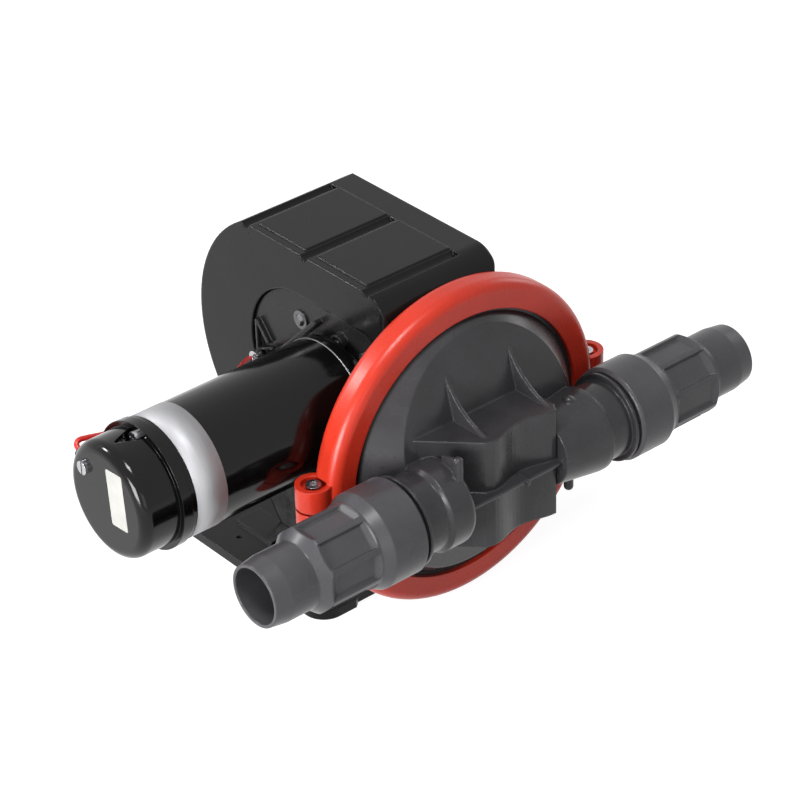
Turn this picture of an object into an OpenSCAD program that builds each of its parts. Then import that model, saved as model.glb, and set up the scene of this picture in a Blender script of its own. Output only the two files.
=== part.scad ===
/* [Overall] */
// Height of the diaphragm axis above the mounting face
axis_h = 100; // [98:1:120]
// Facets of a full circle
round_fn = 64; // [48:8:96]

/* [Clamp ring] */
// Outer radius of the two flanges that the ring clamps
flange_r = 87; // [85:0.5:88]
// Thickness of each clamped flange
flange_t = 4.75; // [4:0.25:5.25]
// Thickness of the rubber diaphragm at its clamped rim
rubber_t = 2.5; // [2:0.25:3]
// Radial wall of the ring outside the flanges
ring_wall = 7.5; // [6.5:0.5:8.5]
// Thickness of the ring's front and back lips
lip_t = 2.9; // [2.4:0.1:3.2]
// How far the lips reach over the flanges
lip_d = 8; // [7:0.5:9]
// Rounding of the ring's outer edges
ring_round = 6; // [4:0.5:6.5]
// Radius of the screw lugs
lug_r = 10; // [9:0.5:10.5]
// Height of each lug above or below the split
lug_h = 14; // [13:0.5:16]
// Gap left between the two clamp halves
split_gap = 1.5; // [1:0.25:2]
// Thread radius of the clamp screws
clamp_screw_r = 2.5; // [2:0.25:3]

/* [Chamber cover] */
// Wall thickness of the chamber cover
cover_wall = 3.5; // [3:0.25:4]
// Forward reach of the cover's ridge from the ring's middle
ridge_d = 31; // [30:0.5:32]
// Height of the valve block's flat top above the ports
block_up = 32; // [30:0.5:34]
// Forward reach of the valve block from the ring's middle
block_d = 51.5; // [50:0.5:52]
// Half width of the valve block
block_w = 28; // [27:0.5:29.5]
// Thickness of the triangular gussets
gusset_t = 2.2; // [1.8:0.1:3]
// Thickness of the flat web at port height
web_t = 2; // [1.5:0.25:2.5]

/* [Ports] */
// Forward offset of the port axis from the ring's middle
port_y = 38.6; // [38.2:0.2:40]
// Drop of the port axis below the diaphragm axis
port_drop = 0.9; // [0:0.1:2]
// Outer radius of the thick part of each neck
neck_r = 24.5; // [24:0.25:25.5]
// Outer radius of the thin part of each neck
neck_r2 = 22.2; // [21.8:0.1:22.6]
// Bore radius of each neck
neck_bore = 18.6; // [18.4:0.2:19]
// Distance from the middle to each neck's closed inner end
neck_in = 40; // [38:0.5:42]
// Distance from the middle to the end of the thick part
neck_step = 58; // [56:0.5:60]
// Distance from the middle to each neck's open end
neck_end = 86; // [84:0.5:88]

/* [Hose unions] */
// Outer radius of the hose tail, for a hose of 38 mm bore
tail_r = 19; // [18:0.25:20]
// Bore radius of the hose tail
tail_bore = 15.7; // [15:0.1:16.2]
// Distance from the middle to the tip of each hose tail
tail_end = 170; // [165:0.5:175]
// Distance from the middle to the start of each union collar
collar_in = 76.5; // [76:0.25:77.5]
// Outer radius of the union collar
collar_r = 27.2; // [26.8:0.2:28]
// Distance from the middle to the outer end of the collar
collar_out = 99; // [97:0.5:101]
// Distance from the union's axis to the flats of its grip
grip_r = 20.9; // [20.7:0.1:21.5]
// Outer radius over the grip ribs
rib_r = 24.1; // [23.6:0.1:24.5]
// Distance from the middle to the start of the grip
grip_in = 105; // [104:0.5:106]
// Distance from the middle to the end of the grip
grip_out = 138; // [135:0.5:140]
// Number of grip ribs round each union
rib_n = 8; // [6:1:10]
// Width of each grip rib
rib_w = 3.6; // [3:0.2:4.4]

/* [Valves] */
// Radius of the opening in each valve seat
seat_bore = 13; // [12:0.5:13]
// Thickness of the valve seat
seat_t = 2.5; // [2:0.25:3]
// Thickness of the valve flap
flap_t = 2; // [1.5:0.25:2.2]
// Radius of the flap
flap_r = 15.6; // [15.2:0.2:16]
// Radius of the flap's hinge pin
flap_pin_r = 1; // [0.8:0.1:1.2]

/* [Gear housing] */
// Width of the gear housing
house_w = 79.4; // [78:0.2:79.6]
// Wall thickness of the gear housing
house_wall = 3; // [2.5:0.25:3.25]
// Radius of the round back of the gear housing
house_r = 83; // [82:0.5:84]
// Distance from the ring's middle back to the centre of the round back
house_cy = 88.7; // [88:0.5:90]
// Height of that centre above the diaphragm axis
house_cz = 23.7; // [23:0.5:25]
// Height of the flat top above the diaphragm axis
house_top = 95.7; // [95:0.5:97]
// Rounding of the top front edge
house_round = 16; // [14:1:17]
// Radius of the mould grooves on the top
groove_r = 3; // [2.4:0.2:3.2]

/* [Base plate] */
// Width of the base plate
base_w = 158; // [154:1:162]
// Thickness of the base plate
base_t = 6; // [5:0.5:7]
// Distance from the ring's middle back to the plate's front edge
base_y0 = 25; // [23:1:27]
// Distance from the ring's middle back to the plate's back edge
base_y1 = 165; // [163:1:168]
// Corner radius of the base plate
base_round = 13; // [12:0.5:14]
// Radius of the bolt holes
bolt_hole_r = 3.3; // [3:0.1:3.5]
// Distance from the plate's edges to the bolt centres
bolt_in = 13; // [12:0.5:14]

/* [Motor] */
// Distance from the ring's middle back to the motor axis
motor_y = 47.6; // [47.2:0.2:48]
// Height of the motor axis above the diaphragm axis
motor_z = 25.2; // [24.8:0.2:26]
// Outer radius of the motor can
can_r = 34.8; // [34.4:0.1:35]
// Wall thickness of the motor can
can_wall = 2; // [1.5:0.25:2.25]
// Distance from the middle plane to the can's front end
can_x0 = 42.5; // [42:0.25:43]
// Outer radius of the end cap
cap_r = 33; // [32:0.25:33.5]
// Distance from the middle plane to the end cap's face
cap_x = 196.5; // [194:0.5:198]
// Radius of the motor shaft
shaft_r = 4; // [3.5:0.25:4.5]
// Radius of the armature core
core_r = 25.5; // [24:0.25:26]

/* [Gear train] */
// Distance from the ring's middle back to the crankshaft
crank_y = 90; // [89.6:0.1:90.4]
// Teeth of the motor pinion
pinion_n = 12; // [12:1:12]
// Teeth of the large idler gear
idler_n = 48; // [48:1:48]
// Teeth of the small idler gear
idler_small_n = 14; // [14:1:14]
// Teeth of the crank gear
crank_n = 56; // [56:1:56]
// Tooth size of the first pair, pitch diameter over teeth
module_1 = 1.5; // [1.48:0.01:1.51]
// Tooth size of the second pair
module_2 = 1.55; // [1.53:0.01:1.56]
// Face width of the first pair
face_1 = 7; // [6:0.5:7.5]
// Face width of the second pair
face_2 = 10; // [9:0.5:10.5]
// Throw of the eccentric, half the diaphragm's stroke
throw = 5; // [4:0.25:5.5]
// Radius of the crankshaft
crank_r = 7; // [6.5:0.25:7.5]
// Radius of the eccentric
ecc_r = 14; // [13.5:0.25:14.5]

/* [Hidden] */
$fn = round_fn;
// Overrun of cuts past a face
cut = 1;
// Clearance between pieces clamped or pressed together
fit = 0.1;
// Radial running clearance of shafts and pins
run_fit = 0.05;
// Distance from the base plate's bolt pattern centre forward to the clamp ring
head_y = (base_y0 + base_y1)/2;

// Clamp ring values
stack = flange_t + rubber_t/2;
lip_r = flange_r - lip_d;
ring_r = flange_r + fit + ring_wall;
ring_half = stack + fit + lip_t;
lug_out = 2.9;
lug_x = ring_r + lug_out;
lug_y = 2.4;
screw_clear = 0.25;
lug_recess_r = 6.8;
lug_recess_d = 3.6;
clamp_head_r = 4.3;
clamp_head_h = 3.2;
hex_key_r = 2.2;
hex_key_d = 1.8;
nut_r = 4.6;
nut_h = 4;
nut_sink = 0.5;
screw_tail = 1;

// Chamber cover values
cover_gap = 2;
cover_r = lip_r - cover_gap;
flank_share = 0.79;
gable_a = 15.2;
inner_wall = cover_wall/cos(atan(flank_share));
block_down = 34;
block_dip = 4.6;
block_left = 50;
block_left_y = 23;
block_nose = 19;
block_wave = 44;
block_chamfer = 5;
block_ease = 1.5;
block_back = 12;
wave_n = 14;
pocket_wall = 5;
pocket_back = 18;
web_x0 = 40;
web_x1 = 44;
web_y = 55.5;
gusset_x0 = 20.5;
gusset_x1 = 24;
gusset_up = 26;
gusset_back = 15;
gusset_tip = 5.5;
gusset_mid = 24;
gusset_sag = 5.5;
gusset_n = 6;
ridge_x = 0.3;
ridge_w = 2;
ridge_out = 1.5;
ridge_l = 9;
ridge_h = 4;
stop_r = 25.6;
stop_x = 72.5;
stop_t = 2;
neck_edge = 5;
neck_chamfer = 2;
neck_floor = 2;
root_in = 2;
root_slim = 4;
root_l = 28;
pip_x = 46;
pip_r = 3.7;
pip_sink = 2.6;
peg_r = 2.7;
peg_x = 44;
peg_y = 41;
peg_tip = 33.6;
peg_top = 21;
post_x = 44;
post_y = 51;
post_foot = 17;
post_top = 31.7;
fin_t = 2;
fin_l = 12.5;
fin_drop = 2.5;
fin_foot = 20;

// Hose union values
socket_fit = 0.3;
shoulder_x = neck_end + seat_t;
cavity_r = 19;
cavity_x = 117;
cavity_end = 125;
collar_edge = 1.5;
rib_edge = 1;
panel_ramp = 4;
grip_drop = 3;
tail_step = 5;
tail_x = grip_out + tail_step;
tail_bevel = 10;
tail_slim = 1.5;

// Valve values, measured from the seat's face and the port axis
pin_x = 2.7;
pin_z = 15.4;
eye_r = 2;
eye_w = 5.2;
flap_gap = 0.25;
flap_top = 13.4;
ear_t = 2;
ear_gap = 0.3;
ear_low = 14.2;
ear_high = 17.2;
ear_out = 4.7;

// Gear housing values
house_gap = 1;
house_y0 = ring_half + house_gap;
house_z0 = base_t - axis_h;
tail_a = 35;
house_fillet = 4;
cup_r = lip_r - house_gap;
cup_wall = 3;
cup_y1 = 11.5;
cup_floor = cup_y1 - cup_wall;
window_r = 30;
apron = 3;
boss_r = 5.5;
boss_h = 14;
boss_in = 0.8;
boss_floor = 2;
screw_gap = 1;
post_front = 14;
post_back = 70;
housing_screw_r = 2;
housing_head_r = 4;
housing_head_h = 2.6;
groove_share = 0.79;
groove_shares = [0.282, 0.857, 1.42];
groove_lift = 0.5;
groove_wall = 2;
panel_in = 5.2;
panel_gap = 1.5;
panel_t = 0.8;
flange_boss_r = 4;
flange_boss_floor = 1;

// Gear flange values
rear_y = 82.5;
rear_z = 27;
rear_r = 43;
cut_y0 = 20;
cut_round = 8;
flange_fit = 0.5;
ledge_in = 2.7;
ledge_t = 2.8;
ledge_w = 5;
plate_t = 4;
plate_x1 = -(house_w/2 - house_wall - ledge_in);
plate_x0 = plate_x1 - plate_t;
ledge_x = plate_x1 + ledge_t;
pad_r = 25.5;
bolt_r = 2;
bolt_boss_r = 5;
bolt_ring = 30.3;
bearing_r = 11;
bearing_wall = 3.5;
cap_skin = 1;
screw_a = -17.2;
screw_ring = 37.5;
flange_screw_r = 2;
flange_head_r = 4;
flange_head_h = 3;
screw_boss_h = 4;
screw_depth = 10;
front_screw_in = 7.5;
front_screw_low = 9;
front_screw_high = 16.5;
brace_t = 3;
brace_l = 47;
brace_y = 66;
brace_z = 60;
brace_h = 5;
gusset_h = 3;
web_a = 17;
web_ring = 39;
web_bar = 1.6;
web_tip = 27.5;

// Gear train values
pressure_a = 20;
backlash = 0.14;
root_share = 1.25;
tip_share = 1;
wheel_tip_share = 0.75;
flank_shares = [0, 0.4, 0.75, 1];
c1 = module_1*(pinion_n + idler_n)/2;
c2 = module_2*(idler_small_n + crank_n)/2;
mk = norm([crank_y - motor_y, motor_z]);
mk_u = [(crank_y - motor_y)/mk, -motor_z/mk];
mk_a = (c1*c1 - c2*c2 + mk*mk)/(2*mk);
mk_h = sqrt(c1*c1 - mk_a*mk_a);
M = [motor_y, motor_z];
K = [crank_y, 0];
I = [motor_y + mk_a*mk_u[0] - mk_h*mk_u[1], motor_z + mk_a*mk_u[1] + mk_h*mk_u[0]];
E = [crank_y + throw, 0];
ledge_gap = 0.8;
g1_x0 = ledge_x + ledge_gap;
g1_x1 = g1_x0 + face_1;
g2_x0 = -21;
g2_x1 = g2_x0 + face_2;
pin_r = 5;
pin_head_r = 5.5;
pin_head_h = 1.2;
pin_dome_r = 3.5;
pin_dome_top = 2.3;
pin_dome_h = 1.6;
pin_tail = 1;
hub_r = 12;
rim_t = 3;
dish = 2.5;
rod_w = 7;
ecc_w = 8;
big_bush = 2.5;
big_wall = 4.5;
right_boss_x = 30;
crank_end = 36;
web_half = 2.5;
rod_rim = 3.5;
rod_h0 = 12;
rod_h1 = 9;
rod_head_r = 18;
rod_head_t = 4;

// Diaphragm values
centre_t = 3;
plate_r = 42;
inner_t = 3.5;
rod_face = 6.5;
centre_y = rod_face - inner_t - rubber_t/2;
plate_edge = 1.5;
conv_h = 4;
conv_r0 = plate_r + cut;
conv_r1 = flange_r - lip_d - 2*cover_gap;
conv_n = 10;
centre_screw_r = 3;
centre_head_r = 6;
centre_head_h = 3;
centre_screw_l = 18;

// Motor values
can_edge = 5;
cap_l = 28.5;
skirt_r = 36;
skirt_l = 6;
skirt_lap = 4;
skirt_x0 = cap_x - cap_l;
skirt_x1 = skirt_x0 + skirt_l;
can_x1 = skirt_x0 + skirt_lap;
cap_wall = 2;
cap_edge = 6;
notch_r = 6.8;
notch_shift = 1.5;
notch_end_r = 0.6;
notch_end = 6.5;
notch_wall = 1.5;
bolt_head_r = 3.6;
bolt_head_h = 3;
ring_disc_t = 4;
mag_r0 = 27.2;
mag_x0 = 65;
mag_back = 42;
mag_x1 = can_x1 - mag_back;
mag_a = 55;
core_x0 = 70;
core_back = 47;
core_x1 = can_x1 - core_back;
slot_n = 12;
slot_w = 2.4;
slot_d = 5;
coil_r = 20;
coil_l = 7;
comm_r = 12;
comm_l = 14;
comm_back = 22;
comm_x1 = can_x1 - comm_back;
comm_x0 = comm_x1 - comm_l;
brush_gap = 0.15;
brush_l = 10;
brush_w = 6;
brush_h = 8;
holder_wall = 1.5;
holder_gap = 0.1;
brush_in = 3;
brush_x0 = comm_x0 + brush_in;
shaft_in = 3;
shaft_back = cap_x - shaft_in;
rear_in = 4;
rear_l = 7;
rear_x1 = cap_x - rear_in;
rear_x0 = rear_x1 - rear_l;

motor_bush_r = 8;
motor_boss_r = 10.5;
front_bush_l = 7.5;
cap_screw_y = 64.5;
cap_screw_z = 39;
cap_screw_r = 1.6;
cap_head_r = 3.9;
cap_head_h = 2.2;
cap_screw_l = 6;

// Base plate values
bolt_dx = base_w - 2*bolt_in;
bolt_dy = base_y1 - base_y0 - 2*bolt_in;
pad_x0 = house_w/2 + fit;
pad_x1 = 57;
pad_y0 = 96;
pad_l = 32;
pad_up = 2;
ear_x = 50;
ear_slope = 5;
ear_dip = 3;
dimple_x = 65;
dimple_y = 115;
dimple_r = 1.6;
dimple_d = 0.8;
pinion_hole_r = 12;
holder_lift = 1;
grommet_r = 3;
grommet_in = 2;
grommet_out = 2;
lead_a = 20;

// Places shapes given about the diaphragm's centre in the part's own frame
module head() translate([0, -head_y, axis_h]) children();

// Cylinder along X from x0 to x1 at p = [y, z]
module xcyl(p, r, x0, x1)
    translate([x0, p[0], p[1]]) rotate([0, 90, 0]) cylinder(r = r, h = x1 - x0);

// Cone along X
module xcone(p, r0, r1, x0, x1)
    translate([x0, p[0], p[1]]) rotate([0, 90, 0]) cylinder(r1 = r0, r2 = r1, h = x1 - x0);

// Tube along X
module xtube(p, ro, ri, x0, x1) difference() {
    xcyl(p, ro, x0, x1);
    xcyl(p, ri, x0 - cut, x1 + cut);
}

// Cylinder along Y from y0 to y1 at p = [x, z]
module ycyl(p, r, y0, y1)
    translate([p[0], y1, p[1]]) rotate([90, 0, 0]) cylinder(r = r, h = y1 - y0);

// Outline drawn in Y and Z, extruded along X
module xslab(x0, x1)
    translate([x0, 0, 0]) rotate([90, 0, 90]) linear_extrude(height = x1 - x0) children();

// Outline drawn in X and Y, extruded along Z
module zslab(z0, z1) translate([0, 0, z0]) linear_extrude(height = z1 - z0) children();

// Profile drawn as radius and X, revolved about a line along X at p = [y, z]
module xturn(p) translate([0, p[0], p[1]]) rotate([0, 90, 0]) rotate_extrude() children();

// Profile drawn as radius and Y, revolved about the diaphragm's axis
module yturn() rotate([-90, 0, 0]) rotate_extrude() children();

// Flat bar drawn in a plane, from a in direction a_deg
module bar_2d(a, b, w) {
    d = b - a;
    translate(a) rotate(atan2(d[1], d[0])) translate([0, -w/2]) square([norm(d), w]);
}

// Involute of a pressure angle
function inv(a) = tan(a)*180/PI - a;

// Half the angle that a tooth takes up at radius q
function half_tooth(n, m, q) =
    let (rp = m*n/2, rb = rp*cos(pressure_a), a = q > rb ? acos(rb/q) : 0)
    90/n - backlash/(2*rp)*180/PI + inv(pressure_a) - inv(a);

// Points of a spur gear, with a tooth centred at angle t0
function gear_points(n, m, tip, t0) =
    let (rp = m*n/2, rf = rp - root_share*m, ra = rp + tip*m,
        rs = max(rf, rp*cos(pressure_a)),
        q = concat(rf < rs ? [rf] : [], [for (s = flank_shares) rs + s*(ra - rs)]),
        h = [for (r = q) half_tooth(n, m, r)], c = len(q) - 1)
    [for (k = [0:n - 1]) for (i = [0:2*c + 1])
        let (j = i <= c ? i : 2*c + 1 - i, a = t0 + 360*k/n + (i <= c ? -h[j] : h[j]))
        [q[j]*cos(a), q[j]*sin(a)]];

// Direction from a to b in degrees
function dir(a, b) = atan2(b[1] - a[1], b[0] - a[0]);

// Point at radius r and angle a round p
function around(p, r, a) = [p[0] + r*cos(a), p[1] + r*sin(a)];

// Outline of the gear housing, drawn inward by d and open below to z0
module house_2d(d, z0) {
    tip = [house_cy + (house_r - d)*cos(tail_a), house_cz - (house_r - d)*sin(tail_a)];
    foot = [tip[0] - (tip[1] - z0)*tan(tail_a), z0];
    intersection() {
        union() {
            translate([house_cy, house_cz]) circle(r = house_r - d);
            translate([house_y0 + d, z0])
                square([house_cy - house_y0 - d, house_top - house_round - z0]);
            translate([house_y0 + house_round, z0])
                square([house_cy - house_y0 - house_round, house_top - d - z0]);
            translate([house_y0 + house_round, house_top - house_round])
                circle(r = house_round - d);
            polygon([[house_cy, z0], foot, tip, [house_cy, house_cz]]);
        }
        translate([0, z0]) square([2*house_r + house_cy, house_top - d - z0]);
    }
}

// Plan of the gear housing, drawn inward by d, with its front corners rounded
module plan_2d(d) {
    w = house_w/2 - d;
    x1 = house_w/2 - house_fillet;
    y1 = house_cy + 2*house_r;
    translate([-w, house_y0 + house_fillet]) square([2*w, y1 - house_y0 - house_fillet]);
    translate([-x1, house_y0 + d]) square([2*x1, y1 - house_y0 - d]);
    for (s = [-1, 1]) translate([s*x1, house_y0 + house_fillet]) circle(r = house_fillet - d);
}

// Outline of the opening for the gear flange, drawn outward by d
module cutout_2d(d) {
    translate([rear_y, rear_z]) circle(r = rear_r + d);
    translate([cut_y0 + cut_round, rear_z - rear_r - d])
        square([rear_y - cut_y0 - cut_round, 2*(rear_r + d)]);
    translate([cut_y0 - d, rear_z - rear_r + cut_round])
        square([rear_y - cut_y0 + d, 2*(rear_r - cut_round)]);
    for (s = [-1, 1]) translate([cut_y0 + cut_round, rear_z + s*(rear_r - cut_round)])
        circle(r = cut_round + d);
}

// Places of the flange's screws, as [y, z]
flange_screw_at = [around([rear_y, rear_z], screw_ring, screw_a),
    [cut_y0 + front_screw_in, rear_z + rear_r - front_screw_high],
    [cut_y0 + front_screw_in, rear_z - rear_r + front_screw_low]];
motor_bolt_at = [for (s = [-1, 1]) [motor_y, motor_z + s*bolt_ring]];
notch_at = [for (s = [-1, 1]) [motor_y, motor_z + s*(bolt_ring + notch_shift)]];
groove_at = [for (s = groove_shares) s*house_cy];
groove_end = house_w*(groove_share - 1/2);
housing_post_at = [for (s = [-1, 1]) for (y = [post_front, post_back])
    [s*(house_w/2 - house_wall - boss_r + boss_in), base_y0 + y]];

// Red lead, along the back of the can to the rear screw of the flange
lead_r = 1.5;
lead_n = 8;
lead_steps = 3;
lead_cap = [[9, 26.9, 9.8], [9, 30.7, 11.2], [8.2, 35.1, 13.2], [6.5, 37, 16.3], [9, 37.6, 17.6],
    [16, 37.4, 15.6]];
lead_can = [[4, 36.7, 12.3], [22, 36.2, 10.8], [82, 36.9, 10.3]];
lead_end = [[-25, -20.3, 13.1], [-12, -6.3, 4.1], [-4, 0.1, 0.5], [-1.6, 0.5, 0.1]];
lead_head = plate_x0 - screw_boss_h - flange_head_h;
lead_route = concat([for (p = lead_cap) [p[0] - cap_x, motor_y + p[1], motor_z + p[2]]],
    [for (p = lead_can) [p[0] - can_x1, motor_y + p[1], motor_z + p[2]]],
    [for (p = lead_end) [p[0] + lead_head, flange_screw_at[0][0] + p[1],
        flange_screw_at[0][1] + p[2]]]);

module base_plate() color("#1e1c1a") head() difference() {
    union() {
        zslab(-axis_h, house_z0) base_2d(0);
        zslab(house_z0 - cut, house_z0 + pad_up)
            translate([-pad_x1, pad_y0]) square([pad_x1 - pad_x0, pad_l]);
    }
    for (x = [-1, 1]) for (y = [-1, 1])
        translate([x*bolt_dx/2, head_y + y*bolt_dy/2, -axis_h - cut])
            cylinder(r = bolt_hole_r, h = base_t + 2*cut);
    for (p = housing_post_at) {
        translate([p[0], p[1], -axis_h - cut])
            cylinder(r = housing_screw_r + screw_clear, h = base_t + 2*cut);
        translate([p[0], p[1], -axis_h - cut])
            cylinder(r = housing_head_r + screw_clear, h = cut + housing_head_h + screw_clear);
    }
    translate([-dimple_x, dimple_y, house_z0 - dimple_d]) cylinder(r = dimple_r, h = dimple_d + cut);
}

// Plan of the base plate, with a shallow recess between its front ears
module base_2d(d) difference() {
    union() {
        translate([-base_w/2 + base_round, base_y0])
            square([base_w - 2*base_round, base_y1 - base_y0]);
        translate([-base_w/2, base_y0 + base_round])
            square([base_w, base_y1 - base_y0 - 2*base_round]);
        for (x = [-1, 1]) for (y = [base_y0 + base_round, base_y1 - base_round])
            translate([x*(base_w/2 - base_round), y]) circle(r = base_round);
    }
    polygon([[-ear_x - ear_slope, base_y0 - cut], [-ear_x, base_y0 + ear_dip],
        [ear_x, base_y0 + ear_dip], [ear_x + ear_slope, base_y0 - cut]]);
}

module gear_housing() color("#3a3838") head() difference() {
    union() {
        difference() {
            intersection() {
                xslab(-house_w/2, house_w/2) house_2d(0, house_z0);
                zslab(house_z0, house_top) plan_2d(0);
            }
            intersection() {
                xslab(-house_w/2 + house_wall, house_w/2 - house_wall)
                    house_2d(house_wall, house_z0 - cut);
                zslab(house_z0 - 2*cut, house_top) plan_2d(house_wall);
            }
            xslab(-house_w/2 - cut, -house_w/2 + house_wall + cut) cutout_2d(0);
        }
        // Floor in front of the base plate
        translate([-house_w/2 + house_fillet, house_y0, house_z0])
            cube([house_w - 2*house_fillet, base_y0 + ear_dip + apron - house_y0, house_wall]);
        // Cup behind the diaphragm and its clamped flange
        ycyl([0, 0], flange_r, rubber_t/2, stack);
        ycyl([0, 0], cup_r, rubber_t/2, cup_y1);
        // Recessed ledge that the gear flange seats on
        difference() {
            xslab(-house_w/2 + house_wall - cut/2, ledge_x) cutout_2d(house_wall);
            xslab(-house_w/2, plate_x1) cutout_2d(0);
            xslab(-house_w/2, ledge_x + cut) cutout_2d(-ledge_w);
        }
        for (p = flange_screw_at)
            xcyl(p, flange_boss_r, plate_x1 + fit, ledge_x + screw_boss_h);
        // Boss for the right crank bearing
        xcyl(K, bearing_r + bearing_wall, right_boss_x, house_w/2 - house_wall + cut/2);
        // Posts for the screws from below
        for (p = housing_post_at) translate([p[0], p[1], house_z0]) cylinder(r = boss_r, h = boss_h);
        // Raised panels between the grooves on the top
        for (i = [0, 1]) {
            y0 = groove_at[i] + groove_r + panel_gap;
            translate([-house_w/2 + panel_in, y0, house_top - cut])
                cube([groove_end + house_w/2 - panel_in,
                    groove_at[i + 1] - groove_r - panel_gap - y0, cut + panel_t]);
        }
        // Beads inside the top that keep the wall whole under the grooves
        intersection() {
            xslab(-house_w/2 + house_wall/2, groove_end + groove_wall) house_2d(house_wall/2, house_z0);
            for (y = groove_at) xcyl([y, house_top + groove_lift], groove_r + groove_wall,
                -house_w/2, house_w/2);
        }
    }
    ycyl([0, 0], cup_r - cup_wall, -cut, cup_floor);
    ycyl([0, 0], window_r, cup_floor - cut, house_y0 + house_wall + cut);
    xcyl(K, bearing_r + fit/2, right_boss_x - cut, house_w/2 - house_wall);
    xcyl(K, bearing_r + bearing_wall + fit, plate_x0, ledge_x + cut);
    for (p = housing_post_at) translate([p[0], p[1], house_z0 - cut])
        cylinder(r = housing_screw_r + fit/2, h = boss_h - boss_floor + cut);
    for (p = flange_screw_at)
        xcyl(p, flange_screw_r + fit/2, -house_w/2 - cut, ledge_x + screw_boss_h - flange_boss_floor);
    for (y = groove_at)
        xcyl([y, house_top + groove_lift], groove_r, -house_w/2 - cut, groove_end);
}

module housing_screws() color("#8a8a8c") head() for (p = housing_post_at)
    translate([p[0], p[1], -axis_h + screw_clear]) difference() {
        union() {
            cylinder(r = housing_head_r, h = housing_head_h);
            cylinder(r = housing_screw_r, h = base_t + boss_h - boss_floor - screw_gap);
        }
        translate([0, 0, -cut]) cylinder(r = hex_key_r/2, h = 2*cut, $fn = 6);
    }

module gear_flange() color("#3d3b3b") head() difference() {
    brace_tip = [brace_y, brace_z] + brace_l*[cos(45), -sin(45)];
    union() {
        xslab(plate_x0, plate_x1) cutout_2d(-flange_fit);
        xcyl(M, pad_r, -can_x0, plate_x1);
        for (p = motor_bolt_at) xcyl(p, bolt_boss_r, -can_x0, plate_x1);
        xcyl(K, bearing_r + bearing_wall, plate_x0, ledge_x);
        xcyl(flange_screw_at[0], flange_head_r + fit, plate_x0 - screw_boss_h, plate_x1);
        xslab(plate_x0 - brace_h, plate_x1 - cut) {
            bar_2d([brace_y, brace_z], brace_tip, brace_t);
            for (p = [[brace_y, brace_z], brace_tip]) translate(p) circle(r = brace_t/2);
        }
        xslab(plate_x0 - gusset_h, plate_x1 - cut) {
            bar_2d(around([rear_y, rear_z], web_ring, web_a),
                around([rear_y, rear_z], web_ring, screw_a), web_bar);
            bar_2d(around([rear_y, rear_z], web_ring, web_a), [rear_y + web_tip, rear_z], web_bar);
            bar_2d(flange_screw_at[0] + [0, flange_head_r],
                [rear_y + web_tip - flange_head_r, rear_z - cut], web_bar);
        }
    }
    xcyl(M, pinion_hole_r, -can_x0 - cut, plate_x1 + cut);
    xcyl(K, bearing_r + fit/2, plate_x0 + cap_skin, ledge_x + cut);
    xcyl(I, pin_r + fit/2, plate_x0 - cut, plate_x1 + cut);
    for (p = flange_screw_at)
        xcyl(p, flange_screw_r + screw_clear, plate_x0 - brace_h - cut, plate_x1 + cut);
    for (p = motor_bolt_at) xcyl(p, bolt_r + fit/2, -can_x0 - cut, plate_x1 - cut);
    xcyl(flange_screw_at[0], flange_head_r + fit, plate_x0 - brace_h - cut, plate_x0 - screw_boss_h);
    xcyl(I, pin_head_r + fit, plate_x0 - brace_h - cut, plate_x0);
}

module flange_screws() color("#c9c9cc") head() for (i = [0:len(flange_screw_at) - 1]) {
    p = flange_screw_at[i];
    seat = i == 0 ? plate_x0 - screw_boss_h : plate_x0;
    difference() {
        union() {
            xcyl(p, flange_head_r, seat - flange_head_h, seat);
            xcyl(p, flange_screw_r, seat - cut/2,
                ledge_x + screw_boss_h - flange_boss_floor - screw_gap);
        }
        xslab(seat - flange_head_h - cut, seat - flange_head_h + cut) {
            bar_2d(p - [hex_key_r, 0], p + [hex_key_r, 0], cut);
            bar_2d(p - [0, hex_key_r], p + [0, hex_key_r], cut);
        }
    }
}

// Solid of revolution for the can, drawn inward by d
module can_2d(d) {
    translate([0, -can_x1]) square([can_r - d, can_x1 - can_x0 - can_edge]);
    translate([0, -can_x1]) square([can_r - can_edge, can_x1 - can_x0 - d]);
    translate([can_r - can_edge, -can_x0 - can_edge]) circle(r = can_edge - d);
}

module motor_can() color("#1c1a1a") head() difference() {
    union() {
        difference() {
            xturn(M) can_2d(0);
            xturn(M) translate([0, -cut]) can_2d(can_wall);
            xturn(M) translate([0, -can_x1 - cut]) square([can_r - can_wall, 2*cut]);
        }
        xcyl(M, motor_boss_r, -can_x0 - front_bush_l, -can_x0 - cut);
    }
    xcyl(M, shaft_r + cut, -can_x0 - 2*front_bush_l, -can_x0 + cut);
    xcyl(M, motor_bush_r + fit/2, -can_x0 - front_bush_l - cut, -can_x0 - cut);
    for (p = motor_bolt_at) xcyl(p, bolt_r + fit, -can_x0 - can_edge, -can_x0 + cut);
}

module motor_magnets() color("#4a4a4e") head() for (s = [-1, 1]) intersection() {
    xtube(M, can_r - can_wall - fit/2, mag_r0, -mag_x1, -mag_x0);
    xslab(-mag_x1 - cut, -mag_x0 + cut) polygon([M, M + 2*can_r*[s*cos(mag_a), sin(mag_a)],
        M + 2*can_r*[s*cos(mag_a), -sin(mag_a)]]);
}

// Brush ring that closes the back of the can, with two open brush holders
module brush_ring() color("#6b5b44") head() difference() {
    union() {
        xcyl(M, can_r - can_wall - fit/2, -can_x1, -can_x1 + ring_disc_t);
        for (s = [-1, 1]) holder_box(s, holder_wall, -can_x1 + cut, comm_r + brush_gap + holder_lift);
    }
    xcyl(M, motor_boss_r, -can_x1 - cut, -can_x1 + ring_disc_t + cut);
    for (s = [-1, 1]) holder_box(s, holder_gap, -brush_x0 - brush_w - holder_gap, 0);
    for (p = motor_bolt_at) xcyl(p, bolt_r + fit, -can_x1 - cut, -can_x1 + ring_disc_t + cut);
}

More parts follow.
